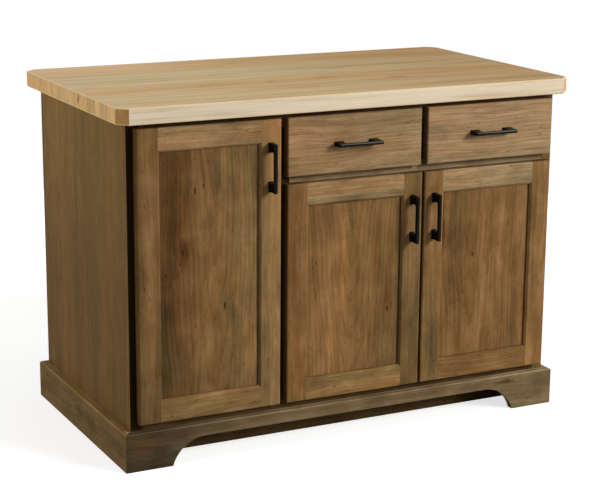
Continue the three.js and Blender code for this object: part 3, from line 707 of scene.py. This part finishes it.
REDDISH, GREY = (0.9, 0.78, 0.68), (0.72, 0.8, 0.84)     # tints of smudges in the stain
DARK, PALE = (0.5, 0.45, 0.4), (1.3, 1.22, 1.12)
CHANNEL_SHOWN = 0.0092   # how far a slide's fixed channel stands out of its packer
MEMBER_SHOWN = 0.009     # how far a drawer's own member stands out of its side
PIN_REACH = 0.001        # from a shelf's end to the board beside it
LEDGE_LIGHT_TINT = (2.1, 2.15, 2.3)   # painted light on the upward faces of the base boards
GAP_FRONTS = {           # painted shade: how much of its light a frame member's front keeps in the gaps
    "frame_stile_left": 0.16, "frame_stile_centre": 0.5, "frame_mullion": 0.7}


def upright(*light_and_red, **cut):
    """A board whose grain runs up, seen from the front."""
    return Board("Z", "X", *light_and_red, **cut)


def sideways(*light_and_red, **cut):
    """A board whose grain runs from left to right, seen from the front."""
    return Board("X", "Z", *light_and_red, **cut)


# The frame members' tones hold painted light and shade: the centre stile, the mullion and the top
# and bottom rails are dark where they lie in shade in the gaps, and the middle rail is light
# where it is lit.
CASE_BOARDS = {
    "frame_stile_left": upright(0.9, 0.42, blotch=0.1, chill=-0.5, broad=0.42, narrow=0.0),
    "frame_stile_centre": upright(0.3),
    "frame_stile_right": upright(0.85, narrow=0.0),
    "frame_mullion": upright(0.4),
    "frame_rail_top": sideways(0.62),
    "frame_rail_middle": sideways(1.3, 0.1, chill=1.3),
    "frame_rail_bottom": sideways(0.4),
    # Painted light: the left end panel turns lighter towards the top.
    "end_panel_left": Board(
        "Z", "Y", 0.83, 0.42, blotch=0.1, chill=-0.5, broad=0.42, fine=0.75,
        far=Far("Z", 1.13, 0.2, 0.4)),
    "end_panel_right": Board("Z", "Y", 0.9, 0.4, broad=0.5, fine=0.7),
    "back_panel": upright(0.9, 0.4),
    "toe_kick_board": sideways(0.45),
}
BASE_BOARDS = {
    # Painted shade: the front base board darkens towards its left end.
    "base_board_front": sideways(
        0.3, 0.1, blotch=0.4, chill=1.1, narrow=0.0, far=Far("X", 0.98, 0.0, 0.0, 0.42),
        smudges=(
            (-0.585, 0.070, 0.05, 0.030, (1.5, 1.15, 0.95)), (-0.500, 0.045, 0.07, 0.040, GREY),
            (0.480, 0.080, 0.05, 0.006, DARK))),
    "base_board_back": sideways(0.85, narrow=0.0),
    "base_board_left": Board("Y", "Z", 0.84, 0.0, blotch=0.6, chill=-0.3, broad=0.7, narrow=0.0),
    "base_board_right": Board("Y", "Z", 0.85, 0.4, narrow=0.0),
}


class CaseOperator(bpy.types.Operator):
    """Stains the face frame, the end panels, the back and the toe-kick board"""

    bl_idname = "island.case"
    bl_label = "Cabinet Outside"

    def execute(self, context):
        fittings = {node: painted_gap_shade(kept) for node, kept in GAP_FRONTS.items()}
        fittings["end_panel_left"] = bare_inside("end_panel_left", 60, "X", -1)
        fittings["end_panel_right"] = bare_inside("end_panel_right", 61, "X", 1, steel_on((-1,)))
        fittings["back_panel"] = bare_inside("back_panel", 62, "Y", 1)
        stain_boards(CASE_BOARDS, 1, fittings)
        return {"FINISHED"}


def painted_gap_shade(kept):
    """A fitting that darkens the front of a frame member with painted shade, as in the gaps
    between the doors.
    """
    def finish(sheet, inputs):
        front = sheet.step(sheet.facing["Y"], 0.6, 0.9)
        inputs["Base Color"] = sheet.tinted(inputs["Base Color"], (kept, kept, kept), front)
    return finish


def painted_ledge_light(sheet, inputs):
    """A fitting that paints light on the upward faces of a base board, turning them a paler
    brown.
    """
    ledge = sheet.step(sheet.facing["Z"], 0.4, 0.7)
    inputs["Base Color"] = sheet.tinted(inputs["Base Color"], LEDGE_LIGHT_TINT, ledge)


def bare_inside(node, seed, axis, side, steel=None):
    """A fitting that leaves a stained board bare inside the case. Its outer face is the
    one at the low (-1) or the high (1) side of its box along an axis."""
    along, other = AXES.index(axis), "Y" if axis == "X" else "X"
    low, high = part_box(node)
    outer = (low if side < 0 else high)[along]
    start, stop = low[AXES.index(other)] + SKIN, high[AXES.index(other)] - SKIN

    def finish(sheet, inputs):
        inside = (outer - sheet.at[axis]) * side > SKIN
        inside = inside * (sheet.at[other] > start) * (sheet.at[other] < stop)
        bare, _ = clear_maple(sheet, "Z", other, seed)
        inputs["Base Color"] = sheet.mix(inside, inputs["Base Color"], bare)
        if steel:
            plate_over(sheet, inputs, steel(sheet, node))
    return finish


def channel_mask(shown, sides):
    """1 on a slide's channel, which stands up to shown from a box's side along X."""
    def mask(sheet, node):
        low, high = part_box(node)
        found = 0.0
        if -1 in sides:
            found = sheet.at["X"] < low.x + shown - SKIN
        if 1 in sides:
            found = found + (sheet.at["X"] > high.x - shown + SKIN)
        return found
    return mask


def pin_mask(sheet):
    """1 on the steel shelf pins, between the shelf's ends and the boards beside it."""
    x, _, z = sheet.at.values()
    low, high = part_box("shelf")
    inside = (x > low.x - PIN_REACH + SKIN) * (x < high.x + PIN_REACH - SKIN)
    return inside * (z < high.z)


def steel_on(sides):
    """1 on the slide channels and on the shelf pins of a board inside the cabinet."""
    channels = channel_mask(CHANNEL_SHOWN, sides)

    def mask(sheet, node):
        found = channels(sheet, node) + pin_mask(sheet)
        return found.math("MINIMUM", found, 1.0)
    return mask


def plated(mask, node):
    """A fitting that plates a board where the mask is 1."""
    return lambda sheet, inputs: plate_over(sheet, inputs, mask(sheet, node))


class InteriorOperator(bpy.types.Operator):
    """Finishes the maple boards inside the cabinet, and the slides and pins on them"""

    bl_idname = "island.interior"
    bl_label = "Cabinet Inside"

    def execute(self, context):
        clear_board("cabinet_floor", "X", "Y", 0.0)
        clear_board("shelf", "X", "Y", 4.3)
        clear_board("partition", "Z", "Y", 8.6, plated(steel_on((1,)), "partition"))
        clear_board("drawer_divider", "Z", "Y", 12.9, plated(steel_on((-1, 1)), "drawer_divider"))
        return {"FINISHED"}


class BaseOperator(bpy.types.Operator):
    """Stains the four boards of the arched base"""

    bl_idname = "island.base"
    bl_label = "Base Boards"

    def execute(self, context):
        stain_boards(BASE_BOARDS, 20, dict.fromkeys(BASE_BOARDS, painted_ledge_light))
        return {"FINISHED"}


# ---- doors and drawers

CUP_INSET = 0.0225       # from a door's edge to the middle of a hinge cup
CUP_RADIUS = 0.019
CUP_DEPTH = 0.012

DOOR_BOARDS = {
    "tall_door": {
        "hinge_stile": upright(0.78),
        "pull_stile": upright(1.44, 0.56, chill=0.1, broad=0.8),
        "top_rail": sideways(1.34, chill=0.7, fine=1.4),
        "bottom_rail": sideways(1.17, 0.4, fine=1.3),
        "panel": upright(
            0.585, 0.75, arch=(-0.39, 1.2, 0.06), blotch=0.4, fine=0.85,
            far=Far("X", 1.12, 0.4),
            knots=((0.697, -0.441, 0.004), (0.708, -0.418, 0.003),
                   (0.544, -0.471, 0.003), (0.399, -0.359, 0.004)),
            smudges=(
                (0.60, -0.495, 0.42, 0.060, (0.92, 0.8, 0.7)), (0.74, -0.385, 0.11, 0.045, GREY),
                (0.27, -0.500, 0.11, 0.060, GREY), (0.20, -0.420, 0.07, 0.060, GREY),
                (0.55, -0.465, 0.06, 0.008, DARK), (0.469, -0.482, 0.02, 0.012, PALE),
                (0.45, -0.352, 0.06, 0.014, PALE), (0.42, -0.335, 0.14, 0.016, PALE),
                (0.30, -0.300, 0.12, 0.014, PALE))),
    },
    "middle_door": {
        "hinge_stile": upright(0.96, 0.7, smudges=(
            (0.52, -0.172, 0.22, 0.016, REDDISH), (0.26, -0.165, 0.16, 0.020, REDDISH))),
        "pull_stile": upright(0.88, 0.4, smudges=((0.32, 0.18, 0.18, 0.04, GREY),)),
        "top_rail": sideways(1.4, 0.45, chill=0.8, fine=1.5),
        "bottom_rail": sideways(1.2, fine=1.3),
        "panel": upright(
            0.99, 0.62, broad=0.8, fine=0.9, arch=(0.0, 0.95, 0.09), knots=((0.335, 0.1, 0.003),),
            smudges=(
                (0.36, 0.098, 0.12, 0.016, REDDISH), (0.50, 0.070, 0.14, 0.014, REDDISH),
                (0.45, -0.020, 0.16, 0.030, PALE), (0.28, -0.060, 0.12, 0.020, PALE))),
    },
    "right_door": {
        "hinge_stile": upright(1.02, 0.6),
        "pull_stile": upright(1.04, 0.6, smudges=((0.20, 0.23, 0.14, 0.04, GREY),)),
        "top_rail": sideways(1.6, 0.35, chill=1.1, fine=1.5),
        "bottom_rail": sideways(0.88, 0.7, fine=1.3),
        "panel": upright(
            0.86, 0.75, arch=(0.36, 1.3, 0.05), fine=0.9, knots=((0.453, 0.369, 0.0025),),
            smudges=((0.54, 0.278, 0.12, 0.008, DARK), (0.33, 0.290, 0.12, 0.012, GREY))),
    },
}
DRAWER_FRONTS = {
    "left_drawer_front": sideways(
        1.36, chill=0.9, broad=0.6, fine=1.6, far=Far("X", 1.46, 0.3)),
    "right_drawer_front": sideways(
        1.52, 0.48, chill=1.2, broad=0.5, fine=1.65, far=Far("X", 1.68, 0.4)),
}


def hinge_side(door):
    """-1 for a door hinged at its left edge, 1 at its right edge."""
    return 1 if door == "right_door" else -1


def cup_places(door):
    """Middle of each hinge cup of a door, across and up."""
    low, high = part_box(f"{door}_hinge_stile")
    side = hinge_side(door)
    across = (low.x if side < 0 else high.x) - side * CUP_INSET
    return [(across, middle_of(f"{door}_hinge_{place}").z) for place in ("lower", "upper")]


def cups(door):
    """A fitting that plates the hinge cups sunk in a door's hinge stile."""
    def finish(sheet, inputs):
        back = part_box(f"{door}_top_rail")[1].y
        metal = sheet.at["Y"] > back + SKIN
        for across, up in cup_places(door):
            beside = sheet.at["X"] - across
            above = sheet.at["Z"] - up
            near = (beside * beside + above * above) ** 0.5 < CUP_RADIUS + SKIN
            metal = metal + near * (sheet.at["Y"] > back - CUP_DEPTH - SKIN)
        plate_over(sheet, inputs, metal.math("MINIMUM", metal, 1.0))
    return finish


def bumpers(door):
    """A fitting that makes the two bumpers on a door's pull stile of grey rubber."""
    def finish(sheet, inputs):
        proud = sheet.at["Y"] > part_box(f"{door}_top_rail")[1].y + SKIN
        inputs["Base Color"] = sheet.mix(
            proud, inputs["Base Color"], bpy.context.scene.island_metal.rubber)
        inputs["Roughness"] = inputs["Roughness"] * (1 - proud) + proud * 0.55
    return finish


class DoorsOperator(bpy.types.Operator):
    """Stains the stiles, rails and flat panels of the three doors"""

    bl_idname = "island.doors"
    bl_label = "Doors"

    def execute(self, context):
        boards = {
            f"{door}_{piece}": board
            for door, pieces in DOOR_BOARDS.items() for piece, board in pieces.items()}
        fittings = {f"{door}_hinge_stile": cups(door) for door in DOORS}
        fittings |= {f"{door}_pull_stile": bumpers(door) for door in DOORS}
        stain_boards(boards, 30, fittings)
        return {"FINISHED"}


class DrawersOperator(bpy.types.Operator):
    """Stains the drawer fronts and finishes the maple boxes behind them"""

    bl_idname = "island.drawers"
    bl_label = "Drawers"

    def execute(self, context):
        stain_boards(DRAWER_FRONTS, 50)
        for seed, drawer in enumerate(DRAWERS):
            for side, end in ((-1, "side_left"), (1, "side_right")):
                node = f"{drawer}_{end}"
                steel = plated(channel_mask(MEMBER_SHOWN, (side,)), node)
                clear_board(node, "Y", "Z", seed * 2.7 + side, steel)
            clear_board(f"{drawer}_back", "X", "Z", seed * 2.7 + 5)
            clear_board(f"{drawer}_bottom", "X", "Y", seed * 2.7 + 7)
        return {"FINISHED"}


# ---- metalwork


class HingesOperator(bpy.types.Operator):
    """Finishes the hinge arms and the slide members in zinc plate"""

    bl_idname = "island.metalwork"
    bl_label = "Hinges and Slides"

    def execute(self, context):
        for door in DOORS:
            for place in ("lower", "upper"):
                paint(f"{door}_hinge_{place}", zinc_material())
        for drawer in DRAWERS:
            for side in ("left", "right"):
                paint(f"{drawer}_runner_{side}", zinc_material())
        return {"FINISHED"}


CHAMFER_SEEN = 0.002     # depth of a pull's front in which only its bar lies
CROWN_STEPS = 5
SAME_POINT = 1e-6        # points closer than this are one
ON_PLANE = 1e-7          # points closer to a cut than this lie on it
FLAT = math.radians(0.5)    # faces that meet at less than this are one
SHARP = math.radians(28)    # edges that meet at more than this are softened
SOFT_SEGMENTS = 3


def crown_front(skin, node, radius):
    """Rounds the two long front edges of a pull's bar."""
    low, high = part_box(node)
    across = 0 if high.z - low.z > high.x - low.x else 2
    middle = (low[across] + high[across]) / 2
    half = max(
        abs(vert.co[across] - middle) for vert in skin.verts
        if vert.co.y < low.y + CHAMFER_SEEN)
    aside = Vector((1, 0, 0)) if across == 0 else Vector((0, 0, 1))
    for step in range(CROWN_STEPS):
        offset = half - radius + radius * math.sin(math.pi / 2 * step / CROWN_STEPS)
        for side in (-1, 1):
            bmesh.ops.bisect_plane(
                skin, geom=[*skin.verts, *skin.edges, *skin.faces], dist=ON_PLANE,
                plane_co=aside * (middle + side * offset), plane_no=aside)
    for vert in skin.verts:
        past = abs(vert.co[across] - middle) - (half - radius)
        if past > 0 and vert.co.y < low.y + radius:
            drop = radius - math.sqrt(max(radius * radius - past * past, 0.0))
            vert.co.y = max(vert.co.y, low.y + drop)


def soft_edged(node, name, material, edge, crown):
    """A copy of a pull as one closed skin, with a rounded front and soft edges."""
    skin = bmesh.new()
    skin.from_mesh(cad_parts[node].data)
    bmesh.ops.remove_doubles(skin, verts=skin.verts, dist=SAME_POINT)
    bmesh.ops.dissolve_limit(skin, angle_limit=FLAT, verts=skin.verts, edges=skin.edges)
    crown_front(skin, node, crown)
    bmesh.ops.recalc_face_normals(skin, faces=skin.faces)
    for face in skin.faces:
        face.smooth = True
    piece = made_of(skin, name, material)
    bevel = piece.modifiers.new("soft_edges", "BEVEL")
    bevel.width = edge
    bevel.segments = SOFT_SEGMENTS
    bevel.limit_method = "ANGLE"
    bevel.angle_limit = SHARP
    bevel.harden_normals = True
    return piece


class PullsOperator(bpy.types.Operator):
    """Makes the five black pulls with soft edges"""

    bl_idname = "island.pulls"
    bl_label = "Pulls"

    def execute(self, context):
        settings = context.scene.island_metal
        material = black_paint()
        for front in (*DOORS, *DRAWERS):
            piece = soft_edged(
                f"{front}_pull", f"{front}_handle", material, settings.edge, settings.crown)
            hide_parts(f"{front}_pull")
            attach(piece, front)
        return {"FINISHED"}


# ---- screws

SCREW_SEED = 7
CUP_SCREW_IN = 0.005     # from a cup's middle, away from the door's edge
CUP_SCREW_RISE = 0.0235
PLATE_THICK = 0.0025
PLATE_SCREW_RISE = 0.019
ARM_SCREWS = (0.005, 0.015)   # from the arm's inner end
PULL_SCREW_REACH = 0.051      # from the middle of a pull to each of its screws
ARM_SCREW_SIZE, PULL_SCREW_SIZE = 0.85, 1.25   # to a screw in a hinge's cup or plate
HEAD_SIDES, HEAD_RINGS = 24, 4
DOME = 0.4               # how much narrower a head is at its top

Screw = namedtuple("Screw", "place facing size")


def screw_tree():
    """Domed screw heads with a cross recess, one on each point of a mesh."""
    tree = bpy.data.node_groups.new("screw_heads", "GeometryNodeTree")
    for name, kind in (("Points", "NodeSocketGeometry"), ("Radius", "NodeSocketFloat"),
                       ("Height", "NodeSocketFloat"), ("Recess", "NodeSocketFloat"),
                       ("Seed", "NodeSocketInt"), ("Finish", "NodeSocketMaterial")):
        tree.interface.new_socket(name, in_out="INPUT", socket_type=kind)
    tree.interface.new_socket("Heads", in_out="OUTPUT", socket_type="NodeSocketGeometry")
    sheet = Sheet(tree)
    given = sheet.node("NodeGroupInput")
    radius, height, recess = given.of("Radius"), given.of("Height"), given.of("Recess")

    blank = sheet.node("GeometryNodeMeshCylinder", None, {
        "Vertices": HEAD_SIDES, "Side Segments": HEAD_RINGS, "Radius": radius, "Depth": height})
    spot = sheet.node("ShaderNodeSeparateXYZ", None, {0: sheet.node("GeometryNodeInputPosition")})
    rise = spot.of("Z") + height / 2
    taper = 1 - (rise / height) ** 3 * DOME
    domed = sheet.node("ShaderNodeCombineXYZ", None, {
        0: spot.of("X") * taper, 1: spot.of("Y") * taper, 2: rise})
    head = sheet.node("GeometryNodeSetPosition", None, {"Geometry": blank, "Position": domed})
    for long, wide in ((radius, recess), (recess, radius)):
        size = sheet.node("ShaderNodeCombineXYZ", None, {0: long, 1: wide, 2: height})
        lift = sheet.node("ShaderNodeCombineXYZ", None, {2: height})
        bar = sheet.node("GeometryNodeMeshCube", None, {"Size": size})
        bar = sheet.node("GeometryNodeTransform", None, {"Geometry": bar, "Translation": lift})
        head = sheet.node(
            "GeometryNodeMeshBoolean", {"operation": "DIFFERENCE"},
            {"Mesh 1": head, "Mesh 2": bar})

    facing = sheet.node(
        "GeometryNodeInputNamedAttribute", {"data_type": "FLOAT_VECTOR"}, {"Name": "facing"})
    size = sheet.node("GeometryNodeInputNamedAttribute", {"data_type": "FLOAT"}, {"Name": "size"})
    aim = sheet.node("FunctionNodeAlignRotationToVector", {"axis": "Z"}, {"Vector": facing})
    turn = sheet.node(
        "FunctionNodeRandomValue", {"data_type": "FLOAT"},
        {2: 0.0, 3: math.pi, "Seed": given.of("Seed")}, 1)
    spin = sheet.node(
        "FunctionNodeAxisAngleToRotation", None, {"Axis": (0.0, 0.0, 1.0), "Angle": turn})
    aim = sheet.node(
        "FunctionNodeRotateRotation", {"rotation_space": "LOCAL"},
        {"Rotation": aim, "Rotate By": spin})
    heads = sheet.node("GeometryNodeInstanceOnPoints", None, {
        "Points": given, "Instance": head, "Rotation": aim, "Scale": size})
    heads = sheet.node("GeometryNodeRealizeInstances", None, {"Geometry": heads})
    heads = sheet.node(
        "GeometryNodeSetMaterial", None, {"Geometry": heads, "Material": given.of("Finish")})
    sheet.node("NodeGroupOutput", None, {0: heads})
    return tree


def driven_screws(tree, name, screws, inputs):
    """The screws of one body as a plain mesh."""
    points = bpy.data.meshes.new(name)
    points.from_pydata([screw.place for screw in screws], [], [])
    facing = points.attributes.new("facing", "FLOAT_VECTOR", "POINT")
    facing.data.foreach_set("vector", [n for screw in screws for n in screw.facing])
    size = points.attributes.new("size", "FLOAT", "POINT")
    size.data.foreach_set("value", [screw.size for screw in screws])
    piece = added(name, points)
    heads = piece.modifiers.new("heads", "NODES")
    heads.node_group = tree
    for socket in tree.interface.items_tree:
        if socket.in_out == "INPUT" and socket.name in inputs:
            heads[socket.identifier] = inputs[socket.name]
    found = piece.evaluated_get(bpy.context.evaluated_depsgraph_get())
    piece.data = bpy.data.meshes.new_from_object(found)
    piece.modifiers.clear()
    return piece


def hinge_screws(door):
    """Screws of a door's hinges: those in the door, and those in the frame's edge."""
    side = hinge_side(door)
    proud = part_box(f"{door}_hinge_stile")[1].y
    inward = (-side, 0.0, 0.0)
    in_door = [
        Screw((across - side * CUP_SCREW_IN, proud, up + rise), TO_BACK, 1.0)
        for across, up in cup_places(door) for rise in (-CUP_SCREW_RISE, CUP_SCREW_RISE)]
    in_frame = []
    for place in ("lower", "upper"):
        low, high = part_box(f"{door}_hinge_{place}")
        seat, tip = (low.x, high.x) if side < 0 else (high.x, low.x)
        up = middle_of(f"{door}_hinge_{place}").z
        deep = (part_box("frame_rail_top")[0].y + high.y) / 2
        for rise in (-PLATE_SCREW_RISE, PLATE_SCREW_RISE):
            in_frame.append(Screw((seat - side * PLATE_THICK, deep, up + rise), inward, 1.0))
        for reach in ARM_SCREWS:
            in_frame.append(Screw((tip, high.y - reach, up), inward, ARM_SCREW_SIZE))
    return in_door, in_frame


def pull_screws(front):
    """Screws that hold a pull, seen on the back of its door or drawer front."""
    low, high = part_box(f"{front}_pull")
    middle = middle_of(f"{front}_pull")
    stands = high.z - low.z > high.x - low.x
    reach = Vector((0, 0, PULL_SCREW_REACH)) if stands else Vector((PULL_SCREW_REACH, 0, 0))
    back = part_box("left_drawer_front")[1].y
    return [
        Screw((place.x, back, place.z), TO_BACK, PULL_SCREW_SIZE)
        for place in (middle - reach, middle + reach)]


class ScrewsOperator(bpy.types.Operator):
    """Drives the screws of the hinges and pulls"""

    bl_idname = "island.screws"
    bl_label = "Screws"

    def execute(self, context):
        settings = context.scene.island_metal
        bodies = {"cabinet": []}
        for door in DOORS:
            in_door, in_frame = hinge_screws(door)
            bodies[door] = in_door + pull_screws(door)
            bodies["cabinet"] += in_frame
        for drawer in DRAWERS:
            bodies[drawer] = pull_screws(drawer)
        tree = screw_tree()
        inputs = {
            "Radius": settings.screw_radius, "Height": settings.screw_height,
            "Recess": settings.recess, "Seed": SCREW_SEED, "Finish": zinc_material()}
        for body, screws in bodies.items():
            piece = driven_screws(tree, f"{body}_screws", screws, inputs)
            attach(piece, body)
        return {"FINISHED"}


# ---- stage


LAMPS = {                # place and size, by the setting that holds the lamp's power
    "key": ((4.3, -5.7, 3.4), (2.6, 2.6)),
    "fill": ((-5.6, 1.9, 2.0), (2.6, 2.6)),
    "top": ((0.3, -0.6, 3.4), (2.4, 2.0)),
}
LAMPS_AIM = (0.0, 0.0, 0.45)
SENSOR_WIDTH = 36.0      # in millimetres
FLOOR_RADIUS = 3.0
FLOOR_SIDES = 96
GLOW_START, GLOW_STOP = 1.2, 2.6    # distances between which the floor turns white
NEAR_GLOW, MORE_GLOW = 0.72, 0.3    # its own light near the object, and what is added


def hang_lamp(name, place, size, power):
    """A soft rectangular lamp that looks at the object."""
    light = bpy.data.lights.new(name, "AREA")
    light.shape = "RECTANGLE"
    light.size, light.size_y = size
    light.energy = power
    holder = added(name, light)
    holder.location = place
    aim = Vector(LAMPS_AIM) - Vector(place)
    holder.rotation_euler = aim.to_track_quat("-Z", "Y").to_euler()


def seen_directly(sheet):
    """1 for what the camera sees itself, or through gloss or glass."""
    path = sheet.node("ShaderNodeLightPath", output="Is Camera Ray")
    seen = path + path.of("Is Glossy Ray") + path.of("Is Transmission Ray")
    return seen.math("MINIMUM", seen, 1.0)


def floor_material(settings):
    """Pale floor, white to the camera, that keeps the object's shadow."""
    material, sheet = new_material("studio_floor")
    x, y, _ = sheet.at.values()
    radius = (x * x + y * y) ** 0.5
    whiter = sheet.step(radius, GLOW_START, GLOW_STOP) * MORE_GLOW
    glow = seen_directly(sheet) * (NEAR_GLOW + whiter)
    grain = sheet.noise(x * 40, y * 40, 0.0)
    shade = sheet.mix(grain, [c * 0.97 for c in settings.floor], settings.floor)
    sheet.surface({
        "Base Color": shade,
        "Roughness": 0.8,
        "Emission Color": sheet.mix(glow, (0.0, 0.0, 0.0), (1.0, 1.0, 1.0)),
        "Emission Strength": 1.0,
    })
    return material


def make_floor(settings):
    disc = bmesh.new()
    bmesh.ops.create_circle(disc, cap_ends=True, radius=FLOOR_RADIUS, segments=FLOOR_SIDES)
    made_of(disc, "studio_floor", floor_material(settings))


def make_world(settings):
    """A white backdrop to the camera, and a faint light from all sides on the object."""
    world = bpy.data.worlds.new("studio")
    bpy.context.scene.world = world
    world.use_nodes = True
    sheet = Sheet(world.node_tree)
    seen = seen_directly(sheet)
    backdrop = sheet.node(
        "ShaderNodeBackground", None,
        {"Color": (1.0, 1.0, 1.0, 1.0),
         "Strength": seen + (1 - seen) * settings.ambient})
    sheet.node("ShaderNodeOutputWorld", None, {"Surface": backdrop})


def make_camera(settings):
    """A camera without shift, set by its heading, tilt and roll."""
    data = bpy.data.cameras.new("camera")
    data.lens = settings.lens
    data.sensor_width = SENSOR_WIDTH
    heading, tilt = settings.heading, settings.tilt
    ahead = Vector((
        -math.sin(heading) * math.cos(tilt), math.cos(heading) * math.cos(tilt),
        -math.sin(tilt)))
    right = Vector((math.cos(heading), math.sin(heading), 0.0))
    turn = Matrix.Rotation(-settings.roll, 3, ahead)
    right = turn @ right
    up = right.cross(ahead)
    camera = added("camera", data)
    camera.matrix_world = Matrix.Translation(settings.camera_place) @ Matrix(
        (right, up, -ahead)).transposed().to_4x4()
    bpy.context.scene.camera = camera


class StageOperator(bpy.types.Operator):
    """Builds the pale floor, the soft lamps and the camera"""

    bl_idname = "island.stage"
    bl_label = "Studio"

    def execute(self, context):
        settings = context.scene.island_studio
        make_floor(settings)
        make_world(settings)
        make_camera(settings)
        for name, (place, size) in LAMPS.items():
            hang_lamp(f"{name}_lamp", place, size, getattr(settings, name))
        context.scene.view_settings.view_transform = "Standard"
        return {"FINISHED"}


# ---- panel

SETTINGS = {
    "island_stain": StainSettings,
    "island_maple": MapleSettings,
    "island_metal": MetalSettings,
    "island_studio": StudioSettings,
}

OPERATORS = (
    StageOperator, WorktopOperator, CaseOperator, InteriorOperator, BaseOperator,
    DoorsOperator, DrawersOperator, HingesOperator, PullsOperator, ScrewsOperator,
)


class IslandPanel(bpy.types.Panel):
    """Lists the island's pieces in the sidebar"""

    bl_idname = "VIEW3D_PT_island"
    bl_label = "Kitchen Island"
    bl_space_type = "VIEW_3D"
    bl_region_type = "UI"
    bl_category = "Island"

    def draw(self, context):
        for operator in OPERATORS:
            self.layout.operator(operator.bl_idname)
        for settings in SETTINGS:
            group = getattr(context.scene, settings)
            column = self.layout.column()
            for name in group.__annotations__:
                column.prop(group, name)


def register():
    for kind in (*SETTINGS.values(), *OPERATORS, IslandPanel):
        bpy.utils.register_class(kind)
    for name, kind in SETTINGS.items():
        setattr(bpy.types.Scene, name, bpy.props.PointerProperty(type=kind))


def unregister():
    for name in SETTINGS:
        delattr(bpy.types.Scene, name)
    for kind in reversed((*SETTINGS.values(), *OPERATORS, IslandPanel)):
        bpy.utils.unregister_class(kind)


def main():
    """Runs the operators in order."""
    register()
    for operator in OPERATORS:
        folder, name = operator.bl_idname.split(".")
        getattr(getattr(bpy.ops, folder), name)()


if __name__ == "__main__":
    main()
